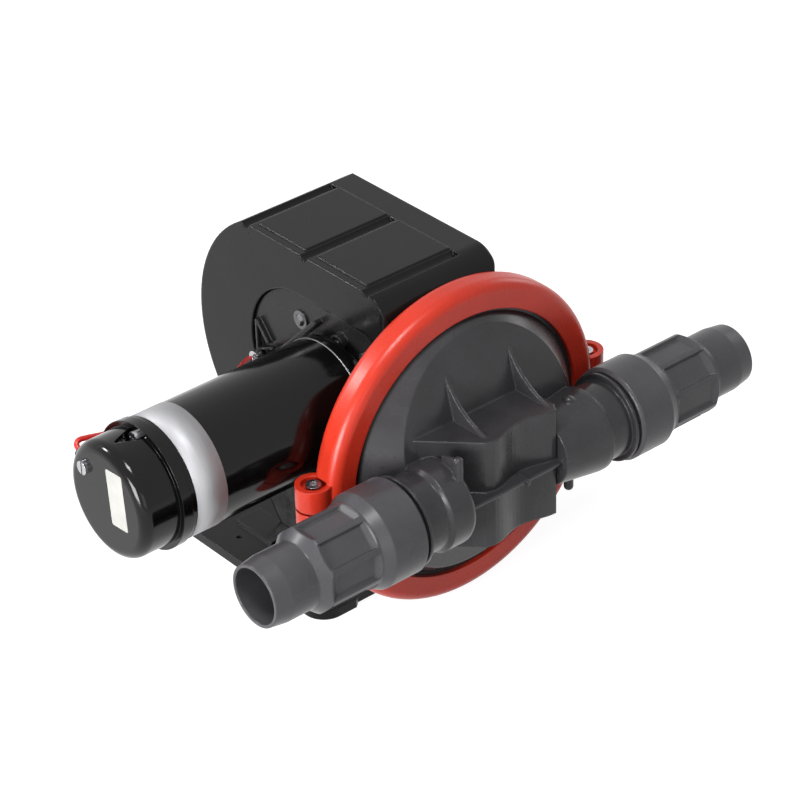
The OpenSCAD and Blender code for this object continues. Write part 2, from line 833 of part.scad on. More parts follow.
// Space of one brush, grown by d, back to x0 and in to radius r0
module holder_box(s, d, x0, r0)
    translate([x0, motor_y + (s > 0 ? r0 : -(comm_r + brush_gap + brush_l + d)),
        motor_z - brush_h/2 - d])
    cube([-brush_x0 + d - x0, comm_r + brush_gap + brush_l + d - r0, brush_h + 2*d]);

module brushes() color("#2a2a2c") head() for (s = [-1, 1])
    translate([-brush_x0 - brush_w, motor_y + (s > 0 ? comm_r + brush_gap :
        -(comm_r + brush_gap + brush_l)), motor_z - brush_h/2])
    cube([brush_w, brush_l, brush_h]);

// Profile of the end cap's dome, drawn inward by d
module cap_2d(d) {
    translate([0, -cap_x + cap_edge]) square([cap_r - d, cap_x - cap_edge - skirt_x1 + 2*cut]);
    translate([0, -cap_x + d]) square([cap_r - cap_edge, cap_x - skirt_x1 - d + 2*cut]);
    translate([cap_r - cap_edge, -cap_x + cap_edge]) circle(r = cap_edge - d);
}

module end_cap() color("#1d1b1b") head() difference() {
    union() {
        difference() {
            xturn(M) cap_2d(0);
            for (p = notch_at) xcone(p, notch_end_r, notch_r, -cap_x + notch_end, -skirt_x1);
        }
        xcyl(M, skirt_r, -skirt_x1, -skirt_x0);
    }
    difference() {
        union() {
            xturn(M) intersection() {
                cap_2d(cap_wall);
                translate([0, -cap_x]) square([cap_r, cap_x - skirt_x1 + cut]);
            }
            xcyl(M, cap_r - cap_wall, -skirt_x1 - cut, -skirt_x0 + cut);
        }
        for (p = notch_at) {
            xcone(p, notch_end_r + notch_wall, notch_r + notch_wall,
                -cap_x + notch_end - notch_wall, -skirt_x1);
            xcyl(p, notch_r + notch_wall, -skirt_x1, -can_x1);
        }
        xcyl(M, motor_boss_r, -cap_x, -rear_x0 + cut);
        xcyl([cap_screw_y, cap_screw_z], cap_screw_r + cap_wall, -cap_x, -cap_x + cap_screw_l + cut);
    }
    xcyl(M, can_r + fit/2, -can_x1, -skirt_x0 + cut);
    xcyl(M, motor_bush_r + fit/2, -rear_x1, -rear_x0 + 2*cut);
    xcyl(M, shaft_r + cut, -shaft_back - cut, -rear_x1 + cut);
    for (p = motor_bolt_at) xcyl(p, bolt_r + fit, -skirt_x1 - cut, -can_x1 + cut);
    xcyl([cap_screw_y, cap_screw_z], cap_screw_r + fit/2, -cap_x - cut, -cap_x + cap_screw_l);
    lead_hole(grommet_r + fit/2);
}

// Radial line through the end cap where the red lead leaves it
module lead_hole(r) translate([lead_route[0][0], motor_y, motor_z])
    rotate([lead_a, 0, 0]) translate([0, cap_r + grommet_out, 0]) rotate([90, 0, 0])
    cylinder(r = r, h = grommet_out + grommet_in + cap_wall);

module cap_screws() color("#c9c9cc") head() {
    p = [cap_screw_y, cap_screw_z];
    difference() {
        union() {
            xcyl(p, cap_head_r, -cap_x - cap_head_h, -cap_x);
            xcyl(p, cap_screw_r, -cap_x - cut, -cap_x + cap_screw_l - cut);
        }
        xslab(-cap_x - cap_head_h - cut, -cap_x - cap_head_h + cut)
            bar_2d(p - [0, cap_head_r + cut], p + [0, cap_head_r + cut], cut);
    }
}

module motor_bolts() color("#c9c9cc") head() for (p = motor_bolt_at) difference() {
    union() {
        xcyl(p, bolt_head_r, -skirt_x1 - bolt_head_h, -skirt_x1);
        xcyl(p, bolt_r, -skirt_x1 - cut, plate_x1 - 2*cut);
    }
    xslab(-skirt_x1 - bolt_head_h - cut, -skirt_x1 - bolt_head_h + cut)
        bar_2d(p - [bolt_head_r + cut, 0], p + [bolt_head_r + cut, 0], cut);
}

module front_bearing() color("#b08d57") head()
    xtube(M, motor_bush_r, shaft_r + run_fit, -can_x0 - front_bush_l, -can_x0 - cut - fit);

module rear_bearing() color("#b08d57") head()
    xtube(M, motor_bush_r, shaft_r + run_fit, -rear_x1 + fit, -rear_x0);

module motor_shaft() color("#b9babd") head() xcyl(M, shaft_r, -shaft_back, g1_x1 + cut);

module motor_pinion() color("#a9aaad") head() difference() {
    xslab(g1_x0 - cut/2, g1_x1 + cut/2) translate(M)
        polygon(gear_points(pinion_n, module_1, tip_share, dir(M, I) + 180/pinion_n));
    xcyl(M, shaft_r + fit/2, g1_x0 - 2*cut, g1_x1 + 2*cut);
}

module armature() color("#8c5a32") head() difference() {
    union() {
        xcyl(M, core_r, -core_x1, -core_x0);
        xcyl(M, coil_r, -core_x1 - coil_l, -core_x0 + coil_l);
    }
    xcyl(M, shaft_r + fit/2, -core_x1 - 2*coil_l, -core_x0 + 2*coil_l);
    for (k = [0:slot_n - 1]) translate([-core_x1 - cut, motor_y, motor_z]) rotate([360*k/slot_n, 0, 0])
        translate([0, core_r - slot_d, -slot_w/2])
        cube([core_x1 - core_x0 + 2*cut, slot_d + cut, slot_w]);
}

module commutator() color("#b87333") head()
    xtube(M, comm_r, shaft_r + fit/2, -comm_x1, -comm_x0);

module idler_pin() color("#c9c9cc") head() {
    xcyl(I, pin_r, plate_x0, g2_x1 + pin_tail);
    xcyl(I, pin_head_r, plate_x0 - pin_head_h, plate_x0);
    xcone(I, pin_dome_top, pin_dome_r, plate_x0 - pin_head_h - pin_dome_h, plate_x0 - pin_head_h);
}

module idler_gear() color("#d8d5c8") head() difference() {
    union() {
        xslab(g1_x0, g1_x1) translate(I)
            polygon(gear_points(idler_n, module_1, wheel_tip_share, dir(I, M)));
        xcyl(I, module_2*(idler_small_n/2 - root_share), g1_x1 - cut, g2_x0 + cut);
        xslab(g2_x0, g2_x1) translate(I)
            polygon(gear_points(idler_small_n, module_2, tip_share, dir(I, K) + 180/idler_small_n));
    }
    xcyl(I, pin_r + run_fit, g1_x0 - cut, g2_x1 + cut);
    xtube(I, module_1*(idler_n/2 - root_share) - rim_t, hub_r + cut, g1_x0 - cut, g1_x0 + dish);
}

module crank_gear() color("#d8d5c8") head() difference() {
    union() {
        xslab(g2_x0, g2_x1) translate(K)
            polygon(gear_points(crank_n, module_2, wheel_tip_share, dir(K, I)));
        xcyl(K, hub_r, ledge_x + cut, g2_x1);
    }
    xcyl(K, crank_r + fit/2, ledge_x - cut, g2_x1 + cut);
    for (s = [-1, 1]) xtube(K, module_2*(crank_n/2 - root_share) - rim_t, hub_r + dish,
        s > 0 ? g2_x1 - dish : g2_x0 - cut, s > 0 ? g2_x1 + cut : g2_x0 + dish);
}

module crankshaft() color("#b9babd") head() {
    xcyl(K, crank_r, plate_x0 + cap_skin + fit, crank_end);
    xcyl(E, ecc_r, -ecc_w, ecc_w);
}

module crank_bearing_left() color("#b08d57") head()
    xtube(K, bearing_r, crank_r + run_fit, plate_x0 + cap_skin, ledge_x);

module crank_bearing_right() color("#b08d57") head()
    xtube(K, bearing_r, crank_r + run_fit, right_boss_x, house_w/2 - house_wall - fit);

module con_rod() color("#55565a") head() difference() {
    union() {
        xcyl(E, ecc_r + big_bush + big_wall + run_fit, -rod_w, rod_w);
        xslab(-rod_w, rod_w) rod_2d(0);
        ycyl([0, 0], rod_head_r, rod_face, rod_face + rod_head_t);
    }
    xcyl(E, ecc_r + big_bush + fit/2 + run_fit, -rod_w - cut, rod_w + cut);
    for (s = [-1, 1]) xslab(s > 0 ? web_half : -rod_w - cut, s > 0 ? rod_w + cut : -web_half)
        rod_2d(rod_rim);
    ycyl([0, 0], centre_screw_r + fit/2, rod_face - cut, centre_screw_l + 2*cut);
}

// Outline of the connecting rod's arm, drawn inward by d
module rod_2d(d) {
    y0 = rod_face + rod_head_t + d - (d > 0 ? 0 : cut);
    y1 = E[0] - ecc_r - big_bush - (d > 0 ? big_wall + d : 0);
    polygon([[y0 + (d > 0 ? centre_screw_l - d : 0), -rod_h0 + d], [y1, -rod_h1 + d],
        [y1, rod_h1 - d], [y0 + (d > 0 ? centre_screw_l - d : 0), rod_h0 - d]]);
}

module big_end_bearing() color("#b08d57") head()
    xtube(E, ecc_r + big_bush + run_fit, ecc_r + run_fit, -rod_w, rod_w);

module inner_plate() color("#8f9094") head() difference() {
    union() {
        ycyl([0, 0], plate_r, rod_face - inner_t + plate_edge, rod_face);
        ycyl([0, 0], plate_r - plate_edge, rod_face - inner_t, rod_face);
    }
    ycyl([0, 0], centre_screw_r + screw_clear, -centre_screw_l, centre_screw_l);
}

module outer_plate() color("#8f9094") head() difference() {
    union() {
        ycyl([0, 0], plate_r - plate_edge, centre_y - rubber_t/2 - centre_t, centre_y - rubber_t/2);
        ycyl([0, 0], plate_r, centre_y - rubber_t/2 - centre_t + plate_edge, centre_y - rubber_t/2);
    }
    ycyl([0, 0], centre_screw_r + screw_clear, -centre_screw_l, centre_screw_l);
}

module centre_screw() color("#c9c9cc") head() {
    y0 = centre_y - rubber_t/2 - centre_t;
    difference() {
        union() {
            ycyl([0, 0], centre_head_r, y0 - centre_head_h, y0);
            ycyl([0, 0], centre_screw_r, y0 - cut, centre_screw_l);
        }
        translate([0, y0 - centre_head_h + hex_key_d, 0]) rotate([90, 0, 0])
            cylinder(r = hex_key_r, h = hex_key_d + cut, $fn = 6);
    }
}

// Middle surface of the diaphragm at a share s of its rolled part
function roll(s) = centre_y*(1 - s) + conv_h*sin(180*s);

module diaphragm() color("#262626") head() yturn() polygon(concat(
    [[centre_screw_r + screw_clear, centre_y + rubber_t/2]],
    [for (i = [0:conv_n]) [conv_r0 + (conv_r1 - conv_r0)*i/conv_n, roll(i/conv_n) + rubber_t/2]],
    [[flange_r, rubber_t/2], [flange_r, -rubber_t/2]],
    [for (i = [conv_n:-1:0]) [conv_r0 + (conv_r1 - conv_r0)*i/conv_n, roll(i/conv_n) - rubber_t/2]],
    [[centre_screw_r + screw_clear, centre_y - rubber_t/2]]));

// Forward face of the cover's gable at height z
function gable(z) = -ridge_d + abs(z + port_drop)*tan(gable_a);

// Radius of the cover's flank at y
function flank(y) = cover_r + flank_share*(y + stack);

// Solid inside the cover's flank and gable, drawn inward by its wall where d is 1
module cover_form(d, y0) intersection() {
    translate([0, y0, 0]) rotate([90, 0, 0])
        cylinder(r1 = flank(y0) - d*inner_wall, r2 = flank(-ridge_d) - d*inner_wall, h = ridge_d + y0);
    xslab(-flange_r, flange_r) translate([d*cover_wall/cos(gable_a), 0])
        polygon([[flange_r, -flange_r], [gable(-flange_r), -flange_r], [-ridge_d, -port_drop],
            [gable(flange_r), flange_r], [flange_r, flange_r]]);
}

// Plan of the valve block's front, with its shallow wave
module block_2d() polygon(concat(
    [[-block_left, -block_back], [-block_left, -block_left_y],
        [-block_nose - block_chamfer, -block_d + block_ease]],
    [for (i = [0:wave_n]) [-block_nose + block_wave*i/wave_n,
        -block_d + block_dip*(1 - cos(360*i/wave_n))/2]],
    [[block_w - block_ease, -block_d + 2*block_ease],
        [block_w, -block_d + block_chamfer], [block_w, -block_back]]));

// Rounded inner end of the left neck, and the right neck's root inside the valve block
neck_cap = concat([[0, neck_in]],
    [for (i = [0:6]) [neck_r - neck_edge*(1 - sin(15*i)), neck_in + neck_edge*(1 - cos(15*i))]]);
neck_root = [[0, block_w - root_in], [neck_r - root_slim, block_w - root_in],
    [neck_r, block_w - root_in + root_l]];

// Outside of one neck, after the points of its inner end
module neck_form(inner) xturn([-port_y, -port_drop]) polygon(concat(inner,
    [[neck_r, neck_step - neck_chamfer/2], [neck_r2, neck_step + neck_chamfer/2],
        [neck_r2, stop_x], [stop_r, stop_x], [stop_r, stop_x + stop_t], [neck_r2, stop_x + stop_t],
        [neck_r2, neck_end], [0, neck_end]]));

module chamber_cover() color("#3f3e3f") head() difference() {
    union() {
        ycyl([0, 0], flange_r, -stack, -rubber_t/2);
        cover_form(0, -stack);
        zslab(-port_drop - block_down, block_up - port_drop) block_2d();
        translate([-web_x0, -web_y, -port_drop - web_t/2])
            cube([web_x0 + web_x1, web_y - pocket_back, web_t]);
        for (x = [-gusset_x0, gusset_x1]) xslab(x - gusset_t/2, x + gusset_t/2)
            translate([0, block_up - port_drop]) gusset_2d();
        neck_form(neck_root);
        mirror([1, 0, 0]) neck_form(neck_cap);
        // Small ridge on the web
        translate([ridge_x - ridge_w/2, -web_y - ridge_out, -port_drop - ridge_h/2])
            cube([ridge_w, ridge_l, ridge_h]);
        // Post on the left neck, with a thin fin behind it
        translate([-post_x, -post_y, post_foot]) {
            cylinder(r = peg_r, h = post_top - peg_r/2 - post_foot);
            translate([0, 0, post_top - peg_r/2 - post_foot])
                cylinder(r1 = peg_r, r2 = peg_r/2, h = peg_r/2);
        }
        xslab(-post_x - fin_t/2, -post_x + fin_t/2) polygon([[-post_y, post_foot],
            [-post_y, post_top - peg_r/2], [-post_y + fin_l, post_top - peg_r/2 - fin_drop],
            [-post_y + fin_l, fin_foot]]);
        // Dome and peg on the right neck
        translate([pip_x, -port_y, neck_r - port_drop - pip_sink]) sphere(r = pip_r);
        translate([peg_x, -peg_y, -peg_tip + peg_r]) {
            sphere(r = peg_r);
            cylinder(r = peg_r, h = peg_tip - peg_r - peg_top);
        }
    }
    cover_form(1, -rubber_t/2 + cut);
    for (s = [-1, 1]) xcyl([-port_y, -port_drop], neck_bore,
        s > 0 ? neck_in + neck_floor : -neck_end - cut, s > 0 ? neck_end + cut : -neck_in - neck_floor);
    translate([-block_nose, -block_d + block_dip + pocket_wall, -port_drop - block_down + pocket_wall])
        cube([block_nose + block_w - pocket_wall, block_d - block_dip - pocket_wall - pocket_back,
            block_down + block_up - 2*pocket_wall]);
}

// Outline of one gusset above the valve block's top, with a hollow upper edge
module gusset_2d() {
    a = [-gusset_back, gusset_up];
    b = [-gusset_mid, gusset_sag];
    c = [-block_d + gusset_tip, 0];
    polygon(concat([for (i = [0:gusset_n]) let (t = i/gusset_n)
        (1 - t)*(1 - t)*a + 2*t*(1 - t)*b + t*t*c], [c - [0, cut], [-gusset_back, -cut]]));
}

// Section of the clamp ring, as radius and Y
module ring_2d() {
    difference() {
        union() {
            translate([lip_r, -ring_half]) square([ring_r - ring_round - lip_r, 2*ring_half]);
            translate([lip_r, ring_round - ring_half])
                square([ring_r - lip_r, 2*(ring_half - ring_round)]);
            for (s = [-1, 1]) translate([ring_r - ring_round, s*(ring_half - ring_round)])
                circle(r = ring_round);
        }
        translate([lip_r - cut, -stack - fit/2]) square([flange_r + fit - lip_r + cut, 2*stack + fit]);
    }
}

// Upper half of the ring with its two lugs
module ring_half_form() difference() {
    union() {
        intersection() {
            yturn() ring_2d();
            translate([-2*ring_r, -2*ring_half, split_gap/2]) cube([4*ring_r, 4*ring_half, 2*ring_r]);
        }
        for (s = [-1, 1]) translate([s*lug_x, lug_y, split_gap/2])
            cylinder(r = lug_r, h = lug_h - split_gap/2);
    }
    ycyl([0, 0], flange_r + fit, -stack - fit/2, stack + fit/2);
    for (s = [-1, 1]) translate([s*lug_x, lug_y, 0]) cylinder(r = clamp_screw_r + screw_clear, h = lug_h + cut);
}

module clamp_half_top() color("#d6402a") head() difference() {
    ring_half_form();
    for (s = [-1, 1]) translate([s*lug_x, lug_y, lug_h - lug_recess_d])
        cylinder(r = lug_recess_r, h = lug_recess_d + cut);
}

module clamp_half_bottom() color("#d6402a") head() difference() {
    mirror([0, 0, 1]) ring_half_form();
    for (s = [-1, 1]) translate([s*lug_x, lug_y, -lug_h - cut])
        cylinder(r = nut_r + fit, h = nut_h + nut_sink + cut, $fn = 6);
}

module clamp_screws() color("#c9c9cc") head() for (s = [-1, 1])
    translate([s*lug_x, lug_y, lug_h - lug_recess_d]) difference() {
        union() {
            cylinder(r = clamp_head_r, h = clamp_head_h);
            translate([0, 0, lug_recess_d - 2*lug_h + screw_tail])
                cylinder(r = clamp_screw_r, h = 2*lug_h - lug_recess_d - screw_tail + cut);
        }
        translate([0, 0, clamp_head_h - hex_key_d]) cylinder(r = hex_key_r, h = hex_key_d + cut, $fn = 6);
    }

module clamp_nuts() color("#c9c9cc") head() for (s = [-1, 1])
    translate([s*lug_x, lug_y, -lug_h + nut_sink]) difference() {
        cylinder(r = nut_r, h = nut_h, $fn = 6);
        translate([0, 0, -cut]) cylinder(r = clamp_screw_r + run_fit, h = nut_h + 2*cut);
    }

// Valve seat with its face at x, its two ears and its pin
module valve_seat(x) {
    p = [-port_y, -port_drop];
    difference() {
        union() {
            xcyl(p, neck_r2 - fit, x - seat_t, x);
            for (s = [-1, 1]) translate([x - cut, s > 0 ? -port_y + eye_w/2 + ear_gap :
                -port_y - eye_w/2 - ear_gap - ear_t, ear_low - port_drop])
                cube([ear_out + cut, ear_t, ear_high - ear_low]);
        }
        xcyl(p, seat_bore, x - seat_t - cut, x + cut);
    }
    translate([x + pin_x, 0, 0]) ycyl([0, pin_z - port_drop], flap_pin_r,
        -port_y - eye_w/2 - ear_gap - ear_t/2, -port_y + eye_w/2 + ear_gap + ear_t/2);
}

// Valve flap lying on a seat with its face at x
module valve_flap(x) difference() {
    union() {
        intersection() {
            xcyl([-port_y, -port_drop], flap_r, x + flap_gap, x + flap_gap + flap_t);
            translate([x, -port_y - 2*flap_r, -port_drop - 2*flap_r])
                cube([2*flap_t, 4*flap_r, 2*flap_r + flap_top]);
        }
        translate([x + flap_gap, -port_y - eye_w/2, flap_top - 2*cut - port_drop])
            cube([flap_t, eye_w, pin_z - flap_top + 2*cut]);
        translate([x + pin_x, 0, 0])
            ycyl([0, pin_z - port_drop], eye_r, -port_y - eye_w/2, -port_y + eye_w/2);
    }
    translate([x + pin_x, 0, 0])
        ycyl([0, pin_z - port_drop], flap_pin_r + run_fit, -port_y - eye_w, -port_y + eye_w);
}

module inlet_valve_seat() color("#57585c") head() valve_seat(-neck_end);
module outlet_valve_seat() color("#57585c") head() valve_seat(shoulder_x);
module inlet_flap() color("#242424") head() valve_flap(-neck_end);
module outlet_flap() color("#242424") head() valve_flap(shoulder_x);

// One hose union, with its collar over the neck's threaded end
module hose_union() {
    p = [-port_y, -port_drop];
    difference() {
        union() {
            xturn(p) polygon([[0, collar_in], [collar_r - collar_edge, collar_in],
                [collar_r, collar_in + collar_edge], [collar_r, collar_out], [rib_r, grip_in],
                [rib_r, grip_in + cut], [tail_r, grip_in + cut], [tail_r, tail_end - tail_bevel],
                [tail_r - tail_slim, tail_end], [0, tail_end]]);
            difference() {
                xturn(p) polygon([[0, grip_in], [rib_r, grip_in], [rib_r, grip_out - rib_edge],
                    [rib_r - rib_edge, grip_out], [tail_r, tail_x], [0, tail_x]]);
                // Flats between the ribs, with a ramp at each end
                for (k = [0:rib_n - 1]) translate([0, -port_y, -port_drop]) rotate([360*k/rib_n, 0, 0])
                    zslab(-rib_r, rib_r) polygon([[grip_in, rib_r + cut], [grip_in, rib_r],
                        [grip_in + panel_ramp, grip_r], [grip_out - panel_ramp, grip_r],
                        [grip_out, rib_r - rib_edge], [grip_out, rib_r + cut]]);
            }
            intersection() {
                xturn(p) polygon([[0, grip_in], [rib_r, grip_in], [rib_r, grip_out - rib_edge],
                    [rib_r - rib_edge, grip_out], [0, grip_out]]);
                for (k = [0:rib_n - 1]) translate([grip_in, -port_y, -port_drop])
                    rotate([360*(k + 1/2)/rib_n, 0, 0]) translate([0, 0, -rib_w/2])
                    cube([grip_out - grip_in, 2*rib_r, rib_w]);
            }
        }
        xcyl(p, neck_r2 + socket_fit, collar_in - cut, shoulder_x);
        xcyl(p, cavity_r, shoulder_x - cut, cavity_x);
        xcone(p, cavity_r, tail_bore, cavity_x - fit, cavity_end);
        xcyl(p, tail_bore, cavity_x, tail_end + cut);
    }
}

module inlet_union() color("#454446") head() mirror([1, 0, 0]) hose_union();
module outlet_union() color("#454446") head() hose_union();

// Smooth curve through the points p at place i plus share t
function smooth(p, i, t) =
    let (a = p[max(i - 1, 0)], b = p[i], c = p[i + 1], d = p[min(i + 2, len(p) - 1)])
    b + t*(c - a)/2 + t*t*(a - 5*b/2 + 2*c - d/2) + t*t*t*(3*b - a - 3*c + d)/2;

function unit(v) = v/norm(v);

module red_lead() color("#c8231c") head() {
    path = concat([for (i = [0:len(lead_route) - 2]) for (j = [0:lead_steps - 1])
        smooth(lead_route, i, j/lead_steps)], [lead_route[len(lead_route) - 1]]);
    n = len(path);
    pts = [for (i = [0:n - 1])
        let (t = unit(path[min(i + 1, n - 1)] - path[max(i - 1, 0)]), u = unit(cross(t, [0, -1, 1])),
            v = cross(t, u))
        for (k = [0:lead_n - 1]) path[i] + lead_r*(cos(360*k/lead_n)*u + sin(360*k/lead_n)*v)];
    polyhedron(points = pts, faces = concat(
        [[for (k = [lead_n - 1:-1:0]) k]], [[for (k = [0:lead_n - 1]) (n - 1)*lead_n + k]],
        [for (i = [0:n - 2]) for (k = [0:lead_n - 1]) [i*lead_n + k, i*lead_n + (k + 1) % lead_n,
            (i + 1)*lead_n + (k + 1) % lead_n, (i + 1)*lead_n + k]]));
}

module lead_grommet() color("#161616") head() difference() {
    union() {
        lead_hole(grommet_r);
        lead_collar();
    }
    lead_hole(lead_r + 2*fit);
}

// Collar of the grommet outside the end cap
module lead_collar() translate([lead_route[0][0], motor_y, motor_z])
    rotate([lead_a, 0, 0]) translate([0, cap_r + grommet_out, 0]) rotate([90, 0, 0])
    cylinder(r = grommet_r + cut, h = grommet_out - fit);

base_plate();
gear_housing();
housing_screws();
gear_flange();
flange_screws();
motor_can();
motor_magnets();
brush_ring();
brushes();
end_cap();
cap_screws();
motor_bolts();
front_bearing();
rear_bearing();
motor_shaft();
motor_pinion();
armature();
commutator();
idler_pin();
idler_gear();
crank_gear();
crankshaft();
crank_bearing_left();
crank_bearing_right();
con_rod();
big_end_bearing();
inner_plate();
outer_plate();
centre_screw();
diaphragm();
chamber_cover();
clamp_half_top();
clamp_half_bottom();
clamp_screws();
clamp_nuts();
inlet_valve_seat();
inlet_flap();
outlet_valve_seat();
outlet_flap();
inlet_union();
outlet_union();
red_lead();
lead_grommet();
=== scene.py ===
"""Dresses a diaphragm pump in moulded, painted and machined finishes.

Adds the motor's bare label band and sticker, the seam of its can, its red lead, and a
pale studio round them.
"""

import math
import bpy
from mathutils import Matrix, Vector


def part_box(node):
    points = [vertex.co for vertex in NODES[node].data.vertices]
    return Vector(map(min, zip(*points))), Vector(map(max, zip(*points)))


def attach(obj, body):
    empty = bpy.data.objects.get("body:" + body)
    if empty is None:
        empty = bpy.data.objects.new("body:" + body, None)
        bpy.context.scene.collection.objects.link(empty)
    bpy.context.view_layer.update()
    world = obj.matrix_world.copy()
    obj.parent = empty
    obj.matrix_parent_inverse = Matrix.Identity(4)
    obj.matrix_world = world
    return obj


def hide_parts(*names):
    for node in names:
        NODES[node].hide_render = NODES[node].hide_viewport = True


bl_info = {
    "name": "Diaphragm Pump",
    "version": (1, 0, 0),
    "blender": (4, 5, 0),
    "location": "3D View > Sidebar > Pump",
    "description": "Finishes, small pieces and studio for a clamped-head diaphragm pump",
    "category": "Object",
}

import bmesh
import bpy
from bpy.props import FloatProperty, FloatVectorProperty, IntProperty, PointerProperty
from mathutils import Matrix, Vector

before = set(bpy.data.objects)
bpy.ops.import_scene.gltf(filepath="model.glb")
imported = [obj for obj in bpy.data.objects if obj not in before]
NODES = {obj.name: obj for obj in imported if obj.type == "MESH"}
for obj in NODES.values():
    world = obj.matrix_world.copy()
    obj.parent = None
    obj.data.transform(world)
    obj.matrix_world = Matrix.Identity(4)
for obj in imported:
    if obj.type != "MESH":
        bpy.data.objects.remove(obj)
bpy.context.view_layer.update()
MM = 0.001

# Head of the pump in the row frame: the middle of the clamp ring
HEAD = Vector((0, -0.095, 0.1))
# Motor axis beside the head, as Y and Z
MOTOR_Y = HEAD.y + 47.6 * MM
MOTOR_Z = HEAD.z + 25.2 * MM

# Bands of a noise's values that are stretched to the full range, from faint to crisp patches
FAINT = {"From Min": 0.25, "From Max": 0.75}
GENTLE = {"From Min": 0.3, "From Max": 0.7}
CLEAR = {"From Min": 0.35, "From Max": 0.7}
CRISP = {"From Min": 0.35, "From Max": 0.65}

# Vertices nearer than this are one vertex
MERGE_DISTANCE = 1e-7

# A band round the can: its faces all the way round, and the gap that keeps it off the enamel
BAND_STEPS = 144
BAND_GAP = 0.02 * MM

# Sticker on the end cap: its place in millimetres from the head, and how far its middle
# stands off the cap's face
STICKER_PLACE = (0, 37.9, 31)
STICKER_RISE = 0.07 * MM
STICKER_THICKNESS = 0.12 * MM
STICKER_CORNER = 1.2 * MM
STICKER_CORNER_STEPS = 4
STICKER_TILT = math.radians(-4)

# Middle of the lead in millimetres from the head, from its grommet to the flange screw
LEAD_ROUTE = (
    (-187.5, 74.5, 35),
    (-187.5, 78.3, 36.2),
    (-187.9, 82.3, 37.6),
    (-187.3, 84.4, 39.4),
    (-184.6, 85.2, 40.2),
    (-179.5, 85, 39.4),
    (-168, 84.3, 37.2),
    (-150, 83.8, 36),
    (-90, 84.5, 35.5),
    (-70, 98.02, 29.01),
    (-57, 112.02, 20.01),
    (-49, 118.42, 16.41),
    (-46.6, 118.82, 16.01),
)
LEAD_ROUNDNESS = 5

# Soft boxes of the studio: name, place, aim and side in metres, and power in watts
SOFT_BOXES = (
    ("key box", (-1.3, -0.35, 0.3), (-0.1, -0.05, 0.1), 0.5, 20),
    ("overhead box", (-0.5, -0.45, 1.9), (0, -0.1, 0.1), 0.5, 24),
    ("front box", (-0.9, -1.7, 0.5), (0, 0, 0.1), 0.8, 3),
    ("fill box", (1.9, 0.1, 0.8), (0, 0, 0.1), 0.8, 6),
    ("edge box", (-1.4, 1.7, 1.5), (-0.05, 0, 0.15), 0.35, 26),
)
WHITE = (1, 1, 1, 1)
# The floor's own colour under its shadow, and how bright it reads to the camera
SHEET_COLOUR = "#9a9a9a"
SHEET_GLOW = 0.9
# Light that the surroundings cast on the pump, and how bright they read to the camera
ROOM_LIGHT = 0.2
ROOM_GLOW = 1.0

# The photo's camera, fitted to the clamp ring, the ports and the housing's edges. Place and
# reach are in metres, sensor and lens in millimetres, and the angles in radians: to the
# right of +Y, below level, and round the line of sight
CAMERA_PLACE = (-0.91744, -1.14827, 1.01625)
CAMERA_TURN = 0.695
CAMERA_TIP = 0.568
CAMERA_ROLL = -0.029
CAMERA_SENSOR = 36
CAMERA_LENS = 139.5
CAMERA_REACH = 50


def linear(code):
    """Linear colour, with alpha, of an sRGB hex colour."""
    parts = [int(code[i : i + 2], 16) / 255 for i in (1, 3, 5)]
    return (*(c / 12.92 if c <= 0.04045 else ((c + 0.055) / 1.055) ** 2.4 for c in parts), 1.0)


def add_node(tree, kind, inputs=None, **settings):
    """Adds one shader node; inputs maps a socket to a value or to the output that feeds it."""
    node = tree.nodes.new(kind)
    for key, value in settings.items():
        setattr(node, key, value)
    for key, value in (inputs or {}).items():
        if isinstance(value, bpy.types.NodeSocket):
            tree.links.new(value, node.inputs[key])
        else:
            node.inputs[key].default_value = value
    return node


def colour_property(name, about, code):
    """A colour that the user can change."""
    return FloatVectorProperty(
        name=name, description=about, subtype="COLOR", size=4, min=0, max=1, default=linear(code)
    )


def length_property(name, about, millimetres):
    """A length that the user can change."""
    return FloatProperty(name=name, description=about, default=millimetres * MM, unit="LENGTH")


class PumpColours(bpy.types.PropertyGroup):
    """Colours of the pump's finishes."""

    ring: colour_property("Clamp ring", "Colour of the moulded clamp ring", "#bb2e1b")
    housing: colour_property("Gear housing", "Colour of the gear housing's moulding", "#121111")
    flange: colour_property("Gear flange", "Colour of the flange that carries the motor", "#1e1d1d")
    cover: colour_property("Chamber cover", "Colour of the chamber cover's moulding", "#313032")
    union: colour_property("Hose unions", "Colour of the hose unions", "#424144")
    enamel: colour_property("Motor enamel", "Colour of the motor's enamel", "#070606")
    base: colour_property("Base plate", "Colour of the base plate's paint", "#0c0b0b")
    label: colour_property("Label band", "Colour of the bare label band", "#a9a9ac")
    sticker: colour_property("Sticker", "Colour of the bare sticker on the end cap", "#b6b5b1")
    lead: colour_property("Lead", "Colour of the lead's insulation", "#c4201a")


class PumpSizes(bpy.types.PropertyGroup):
    """Sizes of the small pieces that the scene adds."""

    label_in: length_property(
        "Label start", "Distance of the label band from the middle plane", 145
    )
    label_out: length_property(
        "Label end", "Far edge of the label band from the middle plane", 164.5
    )
    label_lift: length_property("Label thickness", "Thickness of the label's foil", 0.15)
    can_radius: length_property("Can radius", "Outer radius of the motor can", 34.8)
    seam_at: length_property("Can seam", "Distance of the can's seam from the middle plane", 52)
    seam_width: length_property("Seam width", "Width of the rolled seam", 0.9)
    seam_lift: length_property("Seam height", "Height of the rolled seam over the can", 0.25)
    sticker_width: length_property("Sticker width", "Width of the sticker on the end cap", 13.5)
    sticker_height: length_property("Sticker height", "Height of the sticker on the end cap", 33)
    lead_radius: length_property("Lead radius", "Radius of the lead over its insulation", 1.5)
    lead_steps: IntProperty(
        name="Lead steps", description="Points along each stretch of the lead", default=8, min=2
    )
    floor_size: length_property("Floor size", "Width of the studio floor", 8000)


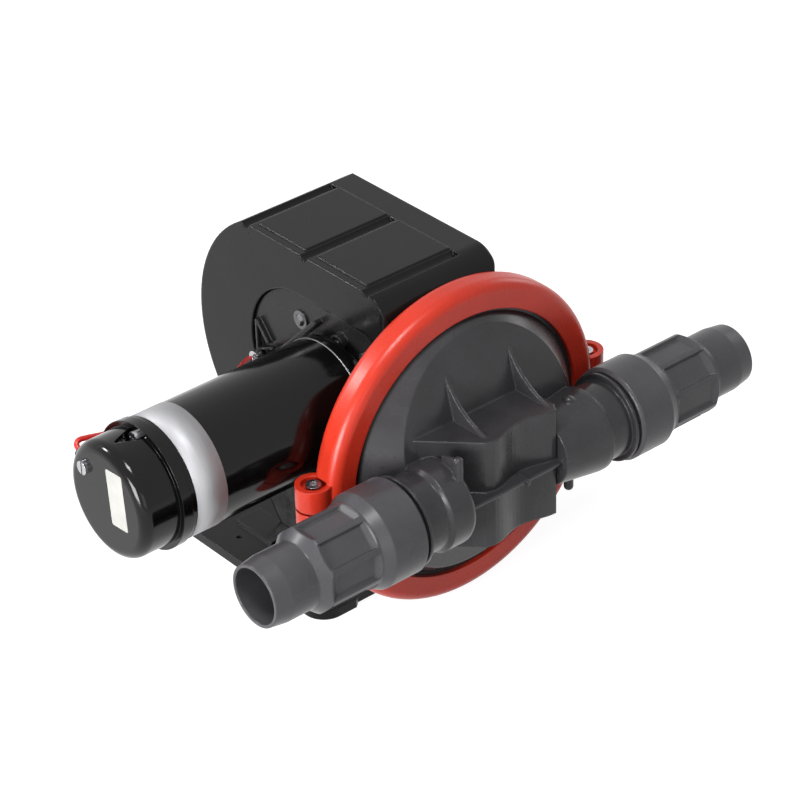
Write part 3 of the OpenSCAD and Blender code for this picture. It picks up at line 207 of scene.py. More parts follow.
def blank_material(name):
    """A new material and its empty tree."""
    material = bpy.data.materials.new(name)
    material.use_nodes = True
    material.node_tree.nodes.clear()
    return material, material.node_tree


def finish_start(name, inputs):
    """A new material, with its tree, its shader with some inputs set, and Object coordinates."""
    material, tree = blank_material(name)
    shader = add_node(tree, "ShaderNodeBsdfPrincipled", inputs)
    add_node(tree, "ShaderNodeOutputMaterial", {"Surface": shader.outputs["BSDF"]})
    place = add_node(tree, "ShaderNodeTexCoord").outputs["Object"]
    return material, tree, shader, place


def join(tree, shader, **sources):
    """Feeds a shader from other nodes; an underscore in a socket's name stands for a space."""
    for name, source in sources.items():
        tree.links.new(source, shader.inputs[name.replace("_", " ")])


def shade_of(colour, factor):
    """The same colour, lighter or darker."""
    return tuple(min(1.0, c * factor) for c in colour[:3]) + (1.0,)


def lumps(size_mm):
    """Noise scale whose lumps are about size_mm across."""
    return 1 / (size_mm * MM)


def glass_filled_nylon(name, colour, gloss=0.24, mottle=0.2):
    """Glass-filled nylon as it leaves a steel mould."""
    # A dull shine, slightly cloudy, flecked where fibres reach the skin, with soft edges.
    # The fleck is 0.9 mm, coarser than the real one, so that it shows
    material, tree, shader, place = finish_start(name, {"Specular IOR Level": 0.3})
    clouds = add_node(
        tree, "ShaderNodeTexNoise", {"Vector": place, "Scale": lumps(22), "Detail": 3.0}
    ).outputs[0]
    fleck = add_node(
        tree, "ShaderNodeTexNoise", {"Vector": place, "Scale": lumps(0.9), "Detail": 2.0}
    ).outputs[0]
    patch = add_node(tree, "ShaderNodeMapRange", {"Value": clouds, **FAINT}).outputs[0]
    spots = add_node(
        tree,
        "ShaderNodeMapRange",
        {"Value": fleck, "From Min": 0.5, "From Max": 0.78, "To Max": 0.3},
    ).outputs[0]
    body = add_node(
        tree,
        "ShaderNodeMix",
        {0: patch, 6: shade_of(colour, 1 - mottle), 7: shade_of(colour, 1 + mottle)},
        data_type="RGBA",
    ).outputs[2]
    skin = add_node(
        tree, "ShaderNodeMix", {0: spots, 6: body, 7: shade_of(colour, 1.7)}, data_type="RGBA"
    ).outputs[2]
    sheen = add_node(
        tree,
        "ShaderNodeMapRange",
        {"Value": clouds, **FAINT, "To Min": gloss - 0.05, "To Max": gloss + 0.08},
    ).outputs[0]
    edges = add_node(tree, "ShaderNodeBevel", {"Radius": 1.4 * MM}, samples=8).outputs[0]
    grain = add_node(
        tree, "ShaderNodeBump", {"Height": fleck, "Distance": 0.02 * MM, "Normal": edges}
    ).outputs[0]
    join(tree, shader, Base_Color=skin, Roughness=sheen, Normal=grain)
    return material


def satin_abs(name, colour, gloss=0.2):
    """ABS from a spark-eroded mould."""
    # An even satin that shows faint sink marks over the walls and a few handling smears
    material, tree, shader, place = finish_start(name, {"Specular IOR Level": 0.16})
    sink = add_node(
        tree, "ShaderNodeTexNoise", {"Vector": place, "Scale": lumps(45), "Detail": 2.0}
    ).outputs[0]
    smear = add_node(
        tree,
        "ShaderNodeTexNoise",
        {"Vector": place, "Scale": lumps(9), "Detail": 4.0, "Roughness": 0.6},
    ).outputs[0]
    grain = add_node(
        tree, "ShaderNodeTexNoise", {"Vector": place, "Scale": lumps(0.6), "Detail": 2.0}
    ).outputs[0]
    patch = add_node(tree, "ShaderNodeMapRange", {"Value": sink, **CRISP}).outputs[0]
    body = add_node(
        tree,
        "ShaderNodeMix",
        {0: patch, 6: shade_of(colour, 0.9), 7: shade_of(colour, 1.12)},
        data_type="RGBA",
    ).outputs[2]
    sheen = add_node(
        tree,
        "ShaderNodeMapRange",
        {"Value": smear, **CLEAR, "To Min": gloss - 0.05, "To Max": gloss + 0.1},
    ).outputs[0]
    edges = add_node(tree, "ShaderNodeBevel", {"Radius": 1.6 * MM}, samples=8).outputs[0]
    waves = add_node(
        tree,
        "ShaderNodeBump",
        {"Height": sink, "Distance": 0.25 * MM, "Strength": 0.5, "Normal": edges},
    ).outputs[0]
    skin = add_node(
        tree, "ShaderNodeBump", {"Height": grain, "Distance": 0.012 * MM, "Normal": waves}
    ).outputs[0]
    join(tree, shader, Base_Color=body, Roughness=sheen, Normal=skin)
    return material


def gloss_polypropylene(name, colour):
    """Pigmented polypropylene from a polished mould."""
    # Warm gloss with a slight orange peel, and a little light passing into the thin lips
    inputs = {
        "Specular IOR Level": 0.35,
        "Subsurface Weight": 0.08,
        "Subsurface Radius": (1.0, 0.3, 0.2),
        "Subsurface Scale": 2 * MM,
    }
    material, tree, shader, place = finish_start(name, inputs)
    bloom = add_node(
        tree, "ShaderNodeTexNoise", {"Vector": place, "Scale": lumps(30), "Detail": 3.0}
    ).outputs[0]
    peel = add_node(
        tree, "ShaderNodeTexNoise", {"Vector": place, "Scale": lumps(4.5), "Detail": 2.0}
    ).outputs[0]
    fine = add_node(
        tree, "ShaderNodeTexNoise", {"Vector": place, "Scale": lumps(0.7), "Detail": 2.0}
    ).outputs[0]
    patch = add_node(tree, "ShaderNodeMapRange", {"Value": bloom, **CLEAR}).outputs[0]
    body = add_node(
        tree,
        "ShaderNodeMix",
        {0: patch, 6: shade_of(colour, 0.92), 7: shade_of(colour, 1.08)},
        data_type="RGBA",
    ).outputs[2]
    sheen = add_node(
        tree, "ShaderNodeMapRange", {"Value": fine, **GENTLE, "To Min": 0.26, "To Max": 0.38}
    ).outputs[0]
    edges = add_node(tree, "ShaderNodeBevel", {"Radius": 0.9 * MM}, samples=6).outputs[0]
    wavy = add_node(
        tree,
        "ShaderNodeBump",
        {"Height": peel, "Distance": 0.04 * MM, "Strength": 0.6, "Normal": edges},
    ).outputs[0]
    skin = add_node(
        tree, "ShaderNodeBump", {"Height": fine, "Distance": 0.006 * MM, "Normal": wavy}
    ).outputs[0]
    join(tree, shader, Base_Color=body, Roughness=sheen, Normal=skin)
    return material


def stoving_enamel(name, colour, gloss=0.12):
    """Black stoving enamel on drawn steel."""
    # Deep gloss with the faint ripple of sprayed paint and a few dull specks of dust
    material, tree, shader, place = finish_start(name, {"Specular IOR Level": 0.26})
    ripple = add_node(
        tree, "ShaderNodeTexNoise", {"Vector": place, "Scale": lumps(7), "Detail": 2.0}
    ).outputs[0]
    dust = add_node(
        tree, "ShaderNodeTexNoise", {"Vector": place, "Scale": lumps(0.9), "Detail": 2.0}
    ).outputs[0]
    specks = add_node(
        tree,
        "ShaderNodeMapRange",
        {"Value": dust, "From Min": 0.68, "From Max": 0.8, "To Max": 0.5},
    ).outputs[0]
    body = add_node(
        tree, "ShaderNodeMix", {0: specks, 6: colour, 7: linear("#1c1b1b")}, data_type="RGBA"
    ).outputs[2]
    sheen = add_node(
        tree,
        "ShaderNodeMapRange",
        {"Value": dust, "From Min": 0.6, "From Max": 0.8, "To Min": gloss, "To Max": gloss + 0.25},
    ).outputs[0]
    edges = add_node(tree, "ShaderNodeBevel", {"Radius": 0.5 * MM}, samples=6).outputs[0]
    skin = add_node(
        tree,
        "ShaderNodeBump",
        {"Height": ripple, "Distance": 0.03 * MM, "Strength": 0.5, "Normal": edges},
    ).outputs[0]
    join(tree, shader, Base_Color=body, Roughness=sheen, Normal=skin)
    return material


def satin_paint(name, colour):
    """Satin paint on pressed steel."""
    # Fine spray texture with rubbed, slightly shinier patches
    material, tree, shader, place = finish_start(name, {"Specular IOR Level": 0.18})
    rub = add_node(
        tree,
        "ShaderNodeTexNoise",
        {"Vector": place, "Scale": lumps(16), "Detail": 4.0, "Roughness": 0.6},
    ).outputs[0]
    grit = add_node(
        tree, "ShaderNodeTexNoise", {"Vector": place, "Scale": lumps(0.5), "Detail": 2.0}
    ).outputs[0]
    patch = add_node(
        tree, "ShaderNodeMapRange", {"Value": rub, "From Min": 0.4, "From Max": 0.7}
    ).outputs[0]
    body = add_node(
        tree, "ShaderNodeMix", {0: patch, 6: colour, 7: shade_of(colour, 1.35)}, data_type="RGBA"
    ).outputs[2]
    sheen = add_node(
        tree, "ShaderNodeMapRange", {"Value": rub, **CLEAR, "To Min": 0.24, "To Max": 0.16}
    ).outputs[0]
    edges = add_node(tree, "ShaderNodeBevel", {"Radius": 0.5 * MM}, samples=6).outputs[0]
    skin = add_node(
        tree, "ShaderNodeBump", {"Height": grit, "Distance": 0.01 * MM, "Normal": edges}
    ).outputs[0]
    join(tree, shader, Base_Color=body, Roughness=sheen, Normal=skin)
    return material


def zinc_plate(name, colour, gloss=0.22):
    """Zinc plating on turned steel."""
    # Bright grey metal with a soft haze and a slight grain
    material, tree, shader, place = finish_start(name, {"Metallic": 1.0})
    haze = add_node(
        tree, "ShaderNodeTexNoise", {"Vector": place, "Scale": lumps(2.2), "Detail": 3.0}
    ).outputs[0]
    grain = add_node(
        tree, "ShaderNodeTexNoise", {"Vector": place, "Scale": lumps(0.4), "Detail": 2.0}
    ).outputs[0]
    patch = add_node(tree, "ShaderNodeMapRange", {"Value": haze, **CLEAR}).outputs[0]
    body = add_node(
        tree, "ShaderNodeMix", {0: patch, 6: shade_of(colour, 0.82), 7: colour}, data_type="RGBA"
    ).outputs[2]
    sheen = add_node(
        tree,
        "ShaderNodeMapRange",
        {"Value": haze, **CLEAR, "To Min": gloss + 0.12, "To Max": gloss},
    ).outputs[0]
    edges = add_node(tree, "ShaderNodeBevel", {"Radius": 0.2 * MM}, samples=6).outputs[0]
    skin = add_node(
        tree, "ShaderNodeBump", {"Height": grain, "Distance": 0.006 * MM, "Normal": edges}
    ).outputs[0]
    join(tree, shader, Base_Color=body, Roughness=sheen, Normal=skin)
    return material


def worked_metal(name, colour, gloss=0.3, grain_mm=0.5, depth_mm=0.01):
    """Machined or cast metal."""
    # Tool or sand grain over a soft cloud of oxide
    material, tree, shader, place = finish_start(name, {"Metallic": 1.0})
    cloud = add_node(
        tree, "ShaderNodeTexNoise", {"Vector": place, "Scale": lumps(6), "Detail": 4.0}
    ).outputs[0]
    grain = add_node(
        tree, "ShaderNodeTexNoise", {"Vector": place, "Scale": lumps(grain_mm), "Detail": 3.0}
    ).outputs[0]
    patch = add_node(tree, "ShaderNodeMapRange", {"Value": cloud, **CLEAR}).outputs[0]
    body = add_node(
        tree, "ShaderNodeMix", {0: patch, 6: shade_of(colour, 0.72), 7: colour}, data_type="RGBA"
    ).outputs[2]
    sheen = add_node(
        tree,
        "ShaderNodeMapRange",
        {"Value": grain, **GENTLE, "To Min": gloss, "To Max": gloss + 0.15},
    ).outputs[0]
    edges = add_node(tree, "ShaderNodeBevel", {"Radius": 0.3 * MM}, samples=6).outputs[0]
    skin = add_node(
        tree, "ShaderNodeBump", {"Height": grain, "Distance": depth_mm * MM, "Normal": edges}
    ).outputs[0]
    join(tree, shader, Base_Color=body, Roughness=sheen, Normal=skin)
    return material


def natural_nylon(name, colour):
    """Unfilled nylon gear stock."""
    # Milky and slightly waxy, with light passing a little way in
    inputs = {
        "IOR": 1.53,
        "Subsurface Weight": 0.2,
        "Subsurface Scale": 2 * MM,
    }
    material, tree, shader, place = finish_start(name, inputs)
    cloud = add_node(
        tree, "ShaderNodeTexNoise", {"Vector": place, "Scale": lumps(14), "Detail": 3.0}
    ).outputs[0]
    grain = add_node(
        tree, "ShaderNodeTexNoise", {"Vector": place, "Scale": lumps(0.6), "Detail": 2.0}
    ).outputs[0]
    patch = add_node(tree, "ShaderNodeMapRange", {"Value": cloud, **CLEAR}).outputs[0]
    body = add_node(
        tree, "ShaderNodeMix", {0: patch, 6: shade_of(colour, 0.93), 7: colour}, data_type="RGBA"
    ).outputs[2]
    sheen = add_node(
        tree, "ShaderNodeMapRange", {"Value": grain, **GENTLE, "To Min": 0.38, "To Max": 0.5}
    ).outputs[0]
    edges = add_node(tree, "ShaderNodeBevel", {"Radius": 0.3 * MM}, samples=6).outputs[0]
    skin = add_node(
        tree, "ShaderNodeBump", {"Height": grain, "Distance": 0.01 * MM, "Normal": edges}
    ).outputs[0]
    join(tree, shader, Base_Color=body, Roughness=sheen, Normal=skin)
    return material


def moulded_rubber(name, colour):
    """Black nitrile rubber."""
    # Dull, with a talc-grey bloom
    material, tree, shader, place = finish_start(name, {"IOR": 1.52})
    bloom = add_node(
        tree,
        "ShaderNodeTexNoise",
        {"Vector": place, "Scale": lumps(9), "Detail": 4.0, "Roughness": 0.6},
    ).outputs[0]
    grain = add_node(
        tree, "ShaderNodeTexNoise", {"Vector": place, "Scale": lumps(0.5), "Detail": 2.0}
    ).outputs[0]
    patch = add_node(
        tree, "ShaderNodeMapRange", {"Value": bloom, "From Min": 0.45, "From Max": 0.75}
    ).outputs[0]
    body = add_node(
        tree, "ShaderNodeMix", {0: patch, 6: colour, 7: shade_of(colour, 2.2)}, data_type="RGBA"
    ).outputs[2]
    sheen = add_node(
        tree, "ShaderNodeMapRange", {"Value": bloom, **GENTLE, "To Min": 0.62, "To Max": 0.8}
    ).outputs[0]
    edges = add_node(tree, "ShaderNodeBevel", {"Radius": 0.4 * MM}, samples=6).outputs[0]
    skin = add_node(
        tree, "ShaderNodeBump", {"Height": grain, "Distance": 0.015 * MM, "Normal": edges}
    ).outputs[0]
    join(tree, shader, Base_Color=body, Roughness=sheen, Normal=skin)
    return material


def brushed_foil(name, colour):
    """Silver-grey polyester foil of a rating label, left bare."""
    # Flat light grey under a matt laminate, with fine lines 0.25 mm apart drawn out round the motor
    material, tree, shader, place = finish_start(name, {"Metallic": 0.35})
    stretched = add_node(
        tree, "ShaderNodeMapping", {"Vector": place, "Scale": (1.0, 0.02, 0.02)}
    ).outputs[0]
    lines = add_node(
        tree, "ShaderNodeTexNoise", {"Vector": stretched, "Scale": lumps(0.25), "Detail": 3.0}
    ).outputs[0]
    cloud = add_node(
        tree, "ShaderNodeTexNoise", {"Vector": place, "Scale": lumps(12), "Detail": 3.0}
    ).outputs[0]
    patch = add_node(tree, "ShaderNodeMapRange", {"Value": lines, **CRISP}).outputs[0]
    body = add_node(
        tree, "ShaderNodeMix", {0: patch, 6: shade_of(colour, 0.88), 7: colour}, data_type="RGBA"
    ).outputs[2]
    sheen = add_node(
        tree, "ShaderNodeMapRange", {"Value": cloud, **GENTLE, "To Min": 0.46, "To Max": 0.56}
    ).outputs[0]
    skin = add_node(tree, "ShaderNodeBump", {"Height": lines, "Distance": 0.004 * MM}).outputs[0]
    join(tree, shader, Base_Color=body, Roughness=sheen, Normal=skin)
    return material


def label_paper(name, colour):
    """Matt white label paper."""
    # Slight tooth and a little yellowing
    material, tree, shader, place = finish_start(name, {"IOR": 1.47})
    age = add_node(
        tree, "ShaderNodeTexNoise", {"Vector": place, "Scale": lumps(8), "Detail": 3.0}
    ).outputs[0]
    tooth = add_node(
        tree, "ShaderNodeTexNoise", {"Vector": place, "Scale": lumps(0.3), "Detail": 3.0}
    ).outputs[0]
    patch = add_node(
        tree, "ShaderNodeMapRange", {"Value": age, "From Min": 0.35, "From Max": 0.75}
    ).outputs[0]
    body = add_node(
        tree, "ShaderNodeMix", {0: patch, 6: colour, 7: shade_of(colour, 0.86)}, data_type="RGBA"
    ).outputs[2]
    sheen = add_node(
        tree, "ShaderNodeMapRange", {"Value": tooth, **GENTLE, "To Min": 0.55, "To Max": 0.68}
    ).outputs[0]
    skin = add_node(tree, "ShaderNodeBump", {"Height": tooth, "Distance": 0.01 * MM}).outputs[0]
    join(tree, shader, Base_Color=body, Roughness=sheen, Normal=skin)
    return material


def vinyl_insulation(name, colour):
    """Soft PVC wire insulation."""
    # Slick, with slight drag marks
    material, tree, shader, place = finish_start(name, {"IOR": 1.53})
    drag = add_node(
        tree, "ShaderNodeTexNoise", {"Vector": place, "Scale": lumps(2), "Detail": 3.0}
    ).outputs[0]
    patch = add_node(tree, "ShaderNodeMapRange", {"Value": drag, **CLEAR}).outputs[0]
    body = add_node(
        tree, "ShaderNodeMix", {0: patch, 6: shade_of(colour, 0.85), 7: colour}, data_type="RGBA"
    ).outputs[2]
    sheen = add_node(
        tree, "ShaderNodeMapRange", {"Value": drag, **GENTLE, "To Min": 0.3, "To Max": 0.42}
    ).outputs[0]
    skin = add_node(tree, "ShaderNodeBump", {"Height": drag, "Distance": 0.02 * MM}).outputs[0]
    join(tree, shader, Base_Color=body, Roughness=sheen, Normal=skin)
    return material


def dress(material, *names):
    """Gives CAD nodes a finish."""
    for name in names:
        slots = NODES[name].data.materials
        slots.clear()
        slots.append(material)


def finished_mesh(name, shape, material, smooth=True):
    """Turns a bmesh into a piece with a finish."""
    bmesh.ops.remove_doubles(shape, verts=shape.verts, dist=MERGE_DISTANCE)
    bmesh.ops.recalc_face_normals(shape, faces=shape.faces)
    mesh = bpy.data.meshes.new(name)
    shape.to_mesh(mesh)
    shape.free()
    for face in mesh.polygons:
        face.use_smooth = smooth
    piece = bpy.data.objects.new(name, mesh)
    bpy.context.scene.collection.objects.link(piece)
    piece.data.materials.append(material)
    return piece


def head_point(x, y, z):
    """A point given in millimetres from the middle of the clamp ring, in the row frame."""
    return HEAD + Vector((x, y, z)) * MM


class PUMP_OT_mouldings(bpy.types.Operator):
    """Finishes of the moulded housings, the pumping head and the unions"""

    bl_idname = "pump.mouldings"
    bl_label = "Mouldings"

    def execute(self, context):
        colours = context.scene.pump_colours
        dress(
            gloss_polypropylene("gloss polypropylene, clamp ring", colours.ring),
            "clamp_half_top", "clamp_half_bottom",
        )
        dress(satin_abs("satin ABS, gear housing", colours.housing), "gear_housing")
        dress(satin_abs("satin ABS, gear flange", colours.flange, gloss=0.22), "gear_flange")
        dress(
            glass_filled_nylon("glass-filled nylon, chamber cover", colours.cover),
            "chamber_cover",
        )
        union = glass_filled_nylon(
            "glass-filled nylon, unions", colours.union, gloss=0.3, mottle=0.14
        )
        dress(union, "inlet_union", "outlet_union")
        dress(
            glass_filled_nylon("glass-filled nylon, valve seats", linear("#4b4b4f")),
            "inlet_valve_seat", "outlet_valve_seat",
        )
        dress(natural_nylon("natural nylon, gears", linear("#dcd7c8")), "idler_gear", "crank_gear")
        dress(
            glass_filled_nylon("phenolic, brush ring", linear("#6b5236"), gloss=0.45),
            "brush_ring",
        )
        return {"FINISHED"}


class PUMP_OT_motor(bpy.types.Operator):
    """Finishes of the motor and its windings"""

    bl_idname = "pump.motor"
    bl_label = "Motor"

    def execute(self, context):
        enamel = stoving_enamel("stoving enamel, motor", context.scene.pump_colours.enamel)
        dress(enamel, "motor_can", "end_cap")
        dress(worked_metal("ferrite, magnets", linear("#3d3d40"), gloss=0.5), "motor_magnets")
        dress(
            worked_metal("varnished laminations, armature", linear("#7a5134"), gloss=0.42),
            "armature",
        )
        dress(worked_metal("turned copper, commutator", linear("#c67a4a")), "commutator")
        dress(moulded_rubber("pressed carbon, brushes", linear("#2a2a2b")), "brushes")
        return {"FINISHED"}


class PUMP_OT_metalwork(bpy.types.Operator):
    """Finishes of the screws, shafts, bearings, plates and base"""

    bl_idname = "pump.metalwork"
    bl_label = "Metalwork"

    def execute(self, context):
        plate = zinc_plate("zinc-plated steel, screws", linear("#bcbcc0"))
        dress(
            plate,
            "flange_screws", "housing_screws", "cap_screws", "motor_bolts", "clamp_screws",
            "clamp_nuts", "centre_screw",
        )
        dress(zinc_plate("dark plated steel, idler pin", linear("#6d6c6e"), gloss=0.3), "idler_pin")
        dress(
            worked_metal("ground steel, shafts", linear("#b9b9bc"), gloss=0.2, grain_mm=0.3),
            "motor_shaft", "crankshaft", "motor_pinion",
        )
        bronze = worked_metal("sintered bronze, bearings", linear("#b8914f"), gloss=0.4)
        dress(
            bronze,
            "front_bearing", "rear_bearing", "crank_bearing_left", "crank_bearing_right",
            "big_end_bearing",
        )
        grey = linear("#a9aaad")
        cast = worked_metal(
            "cast aluminium, rod and plates", grey, gloss=0.4, grain_mm=0.9, depth_mm=0.03
        )
        dress(cast, "con_rod", "inner_plate", "outer_plate")
        dress(satin_paint("satin paint, base plate", context.scene.pump_colours.base), "base_plate")
        return {"FINISHED"}


class PUMP_OT_rubber(bpy.types.Operator):
    """Finishes of the diaphragm, the flaps and the grommet"""

    bl_idname = "pump.rubber"
    bl_label = "Rubber"

    def execute(self, context):
        dress(
            moulded_rubber("nitrile rubber, diaphragm", linear("#232323")),
            "diaphragm", "inlet_flap", "outlet_flap",
        )
        dress(moulded_rubber("nitrile rubber, grommet", linear("#1b1b1b")), "lead_grommet")
        return {"FINISHED"}


def band(name, x0, x1, thickness, material):
    """Thin sleeve all the way round the motor can, from x0 to x1."""
    radius = bpy.context.scene.pump_sizes.can_radius + BAND_GAP
    shape = bmesh.new()
    first = shape.verts.new((x0, radius, 0))
    last = shape.verts.new((x1, radius, 0))
    bmesh.ops.spin(
        shape,
        geom=[first, last, shape.edges.new((first, last))],
        cent=(0, 0, 0),
        axis=(1, 0, 0),
        angle=math.tau,
        steps=BAND_STEPS,
        use_merge=True,
    )
    bmesh.ops.translate(shape, verts=shape.verts, vec=(0, MOTOR_Y, MOTOR_Z))
    bmesh.ops.recalc_face_normals(shape, faces=shape.faces)
    centre = Vector(((x0 + x1) / 2, MOTOR_Y, MOTOR_Z))
    shape.faces.ensure_lookup_table()
    face = shape.faces[0]
    if face.normal.dot(face.calc_center_median() - centre) > 0:
        bmesh.ops.reverse_faces(shape, faces=shape.faces)
    bmesh.ops.solidify(shape, geom=shape.faces[:], thickness=thickness)
    return finished_mesh(name, shape, material)


class PUMP_OT_label_band(bpy.types.Operator):
    """Bare rating label round the back of the motor can, and the rolled seam at its front, whose
    light bare steel is a painted highlight line on the black can
    """

    bl_idname = "pump.label_band"
    bl_label = "Label Band"

    def execute(self, context):
        sizes = context.scene.pump_sizes
        foil = brushed_foil("polyester foil, label band", context.scene.pump_colours.label)
        piece = band("label_band", -sizes.label_out, -sizes.label_in, sizes.label_lift, foil)
        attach(piece, "pump")
        # The seam is a raised rolled edge, and its light grey bare steel on the black enamel is a
        # painted highlight: the thin line of light along the seam
        seam_steel_highlight = zinc_plate("rolled steel with painted highlight, can seam", linear("#8f8f92"), gloss=0.35)
        far_edge = -sizes.seam_at - sizes.seam_width
        seam = band("can_seam_and_highlight", far_edge, -sizes.seam_at, sizes.seam_lift, seam_steel_highlight)
        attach(seam, "pump")
        return {"FINISHED"}


class PUMP_OT_cap_sticker(bpy.types.Operator):
    """Bare paper sticker on the face of the motor's end cap"""

    bl_idname = "pump.cap_sticker"
    bl_label = "Cap Sticker"

    def execute(self, context):
        sizes = context.scene.pump_sizes
        shape = bmesh.new()
        bmesh.ops.create_cube(shape, size=1)
        extent = (STICKER_THICKNESS, sizes.sticker_width, sizes.sticker_height)
        bmesh.ops.scale(shape, verts=shape.verts, vec=extent)
        bmesh.ops.bevel(
            shape,
            geom=[e for e in shape.edges if e.verts[0].co.x * e.verts[1].co.x < 0],
            offset=STICKER_CORNER,
            segments=STICKER_CORNER_STEPS,
            profile=0.5,
            affect="EDGES",
            material=-1,
        )
        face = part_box("end_cap")[0][0]
        centre = head_point(*STICKER_PLACE)
        seat = Matrix.Translation((face - STICKER_RISE, centre.y, centre.z))
        turned = seat @ Matrix.Rotation(STICKER_TILT, 4, "X")
        bmesh.ops.transform(shape, matrix=turned, verts=shape.verts)
        paper = label_paper("label paper, sticker", context.scene.pump_colours.sticker)
        piece = finished_mesh("cap_sticker", shape, paper, smooth=False)
        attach(piece, "pump")
        return {"FINISHED"}


def smooth_path(points, steps):
    """Catmull-Rom curve through all the points, with steps points to each stretch."""
    ends = [points[0], *points, points[-1]]
    path = []
    for a, b, c, d in zip(ends, ends[1:], ends[2:], ends[3:]):
        for step in range(steps):
            t = step / steps
            bend = t * t * (a - 2.5 * b + 2 * c - 0.5 * d)
            twist = t**3 * (1.5 * b - 0.5 * a - 1.5 * c + 0.5 * d)
            path.append(b + t * (c - a) / 2 + bend + twist)
    return [*path, points[-1]]


class PUMP_OT_lead(bpy.types.Operator):
    """Red lead along the back of the motor can, held by its grommet and by a flange screw"""

    bl_idname = "pump.lead"
    bl_label = "Lead"

    def execute(self, context):
        sizes = context.scene.pump_sizes
        path = smooth_path([head_point(*p) for p in LEAD_ROUTE], sizes.lead_steps)
        curve = bpy.data.curves.new("lead", "CURVE")
        curve.dimensions = "3D"
        curve.bevel_depth = sizes.lead_radius
        curve.bevel_resolution = LEAD_ROUNDNESS
        curve.use_fill_caps = True
        line = curve.splines.new("POLY")
        line.points.add(len(path) - 1)
        for point, place in zip(line.points, path):
            point.co = (*place, 1)
        piece = bpy.data.objects.new("lead", curve)
        context.scene.collection.objects.link(piece)
        vinyl = vinyl_insulation("PVC insulation, lead", context.scene.pump_colours.lead)
        curve.materials.append(vinyl)
        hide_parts("red_lead")
        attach(piece, "pump")
        return {"FINISHED"}


def seen_directly(tree):
    """1 for camera, glossy and transmission rays and 0 for the rest, which light the pump."""
    path = add_node(tree, "ShaderNodeLightPath").outputs
    seen = path["Is Camera Ray"]
    for ray in ("Is Glossy Ray", "Is Transmission Ray"):
        both = {0: seen, 1: path[ray]}
        seen = add_node(tree, "ShaderNodeMath", both, operation="MAXIMUM").outputs[0]
    return seen


def studio_white(name, colour, brightness):
    """Matt sheet that reads as the pale background and keeps the pump's shadow."""
    material, tree = blank_material(name)
    seen = {0: seen_directly(tree), 1: brightness}
    glow = add_node(tree, "ShaderNodeMath", seen, operation="MULTIPLY").outputs[0]
    sheet = add_node(tree, "ShaderNodeBsdfDiffuse", {"Color": colour})
    light = add_node(tree, "ShaderNodeEmission", {"Color": WHITE, "Strength": glow})
    both = add_node(tree, "ShaderNodeAddShader", {0: sheet.outputs[0], 1: light.outputs[0]})
    add_node(tree, "ShaderNodeOutputMaterial", {"Surface": both.outputs[0]})
    return material


def soft_box(name, place, aim, side, power):
    """A square area lamp that points at aim."""
    lamp = bpy.data.lights.new(name, "AREA")
    lamp.shape = "SQUARE"
    lamp.size = side
    lamp.energy = power
    holder = bpy.data.objects.new(name, lamp)
    holder.location = place
    holder.rotation_euler = (Vector(aim) - Vector(place)).to_track_quat("-Z", "Y").to_euler()
    bpy.context.scene.collection.objects.link(holder)


def camera_matrix():
    """Place and aim of the photo's camera."""
    ahead = math.cos(CAMERA_TIP)
    forward = Vector(
        (math.sin(CAMERA_TURN) * ahead, math.cos(CAMERA_TURN) * ahead, -math.sin(CAMERA_TIP))
    )
    level = Vector((math.cos(CAMERA_TURN), -math.sin(CAMERA_TURN), 0))
    above = level.cross(forward)
    right = math.cos(CAMERA_ROLL) * level + math.sin(CAMERA_ROLL) * above
    up = -math.sin(CAMERA_ROLL) * level + math.cos(CAMERA_ROLL) * above
    aim = Matrix((right, up, -forward)).transposed().to_4x4()
    return Matrix.Translation(CAMERA_PLACE) @ aim


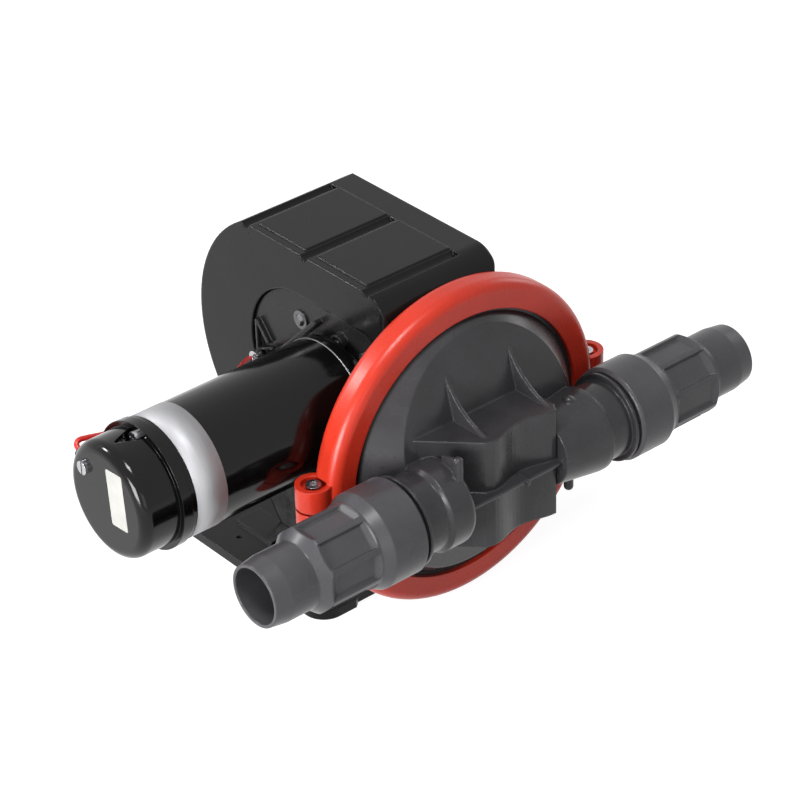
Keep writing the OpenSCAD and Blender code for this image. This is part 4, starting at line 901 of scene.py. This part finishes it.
class PUMP_OT_stage(bpy.types.Operator):
    """Pale floor, soft boxes, white surroundings and the camera"""

    bl_idname = "pump.stage"
    bl_label = "Stage"

    def execute(self, context):
        scene = context.scene
        half = scene.pump_sizes.floor_size / 2
        shape = bmesh.new()
        bmesh.ops.create_grid(shape, x_segments=2, y_segments=2, size=half)
        sheet = studio_white("studio sheet", linear(SHEET_COLOUR), SHEET_GLOW)
        floor = finished_mesh("floor", shape, sheet, smooth=False)
        if floor.data.polygons[0].normal.z < 0:
            floor.data.flip_normals()

        world = bpy.data.worlds.new("studio")
        scene.world = world
        world.use_nodes = True
        tree = world.node_tree
        tree.nodes.clear()
        seen = seen_directly(tree)
        room = add_node(tree, "ShaderNodeBackground", {"Color": WHITE, "Strength": ROOM_LIGHT})
        white = add_node(tree, "ShaderNodeBackground", {"Color": WHITE, "Strength": ROOM_GLOW})
        mixed = {0: seen, 1: room.outputs[0], 2: white.outputs[0]}
        blend = add_node(tree, "ShaderNodeMixShader", mixed)
        add_node(tree, "ShaderNodeOutputWorld", {"Surface": blend.outputs[0]})

        for box in SOFT_BOXES:
            soft_box(*box)

        camera = bpy.data.cameras.new("camera")
        camera.sensor_width = CAMERA_SENSOR
        camera.lens = CAMERA_LENS
        camera.clip_end = CAMERA_REACH
        holder = bpy.data.objects.new("camera", camera)
        holder.matrix_world = camera_matrix()
        scene.collection.objects.link(holder)
        scene.camera = holder
        scene.view_settings.view_transform = "Standard"
        return {"FINISHED"}


class PUMP_PT_panel(bpy.types.Panel):
    """Buttons that dress the pump"""

    bl_label = "Diaphragm Pump"
    bl_space_type = "VIEW_3D"
    bl_region_type = "UI"
    bl_category = "Pump"

    def draw(self, context):
        for step in STEPS:
            self.layout.operator(step.bl_idname)
        for group in (context.scene.pump_colours, context.scene.pump_sizes):
            for name in group.__annotations__:
                self.layout.prop(group, name)


STEPS = (
    PUMP_OT_stage,
    PUMP_OT_mouldings,
    PUMP_OT_motor,
    PUMP_OT_metalwork,
    PUMP_OT_rubber,
    PUMP_OT_label_band,
    PUMP_OT_cap_sticker,
    PUMP_OT_lead,
)
CLASSES = (PumpColours, PumpSizes) + STEPS + (PUMP_PT_panel,)


def register():
    for kind in CLASSES:
        bpy.utils.register_class(kind)
    bpy.types.Scene.pump_colours = PointerProperty(type=PumpColours)
    bpy.types.Scene.pump_sizes = PointerProperty(type=PumpSizes)


def unregister():
    del bpy.types.Scene.pump_sizes
    del bpy.types.Scene.pump_colours
    for kind in reversed(CLASSES):
        bpy.utils.unregister_class(kind)


def main():
    register()
    for step in STEPS:
        group, name = step.bl_idname.split(".")
        getattr(getattr(bpy.ops, group), name)()


if __name__ == "__main__":
    main()
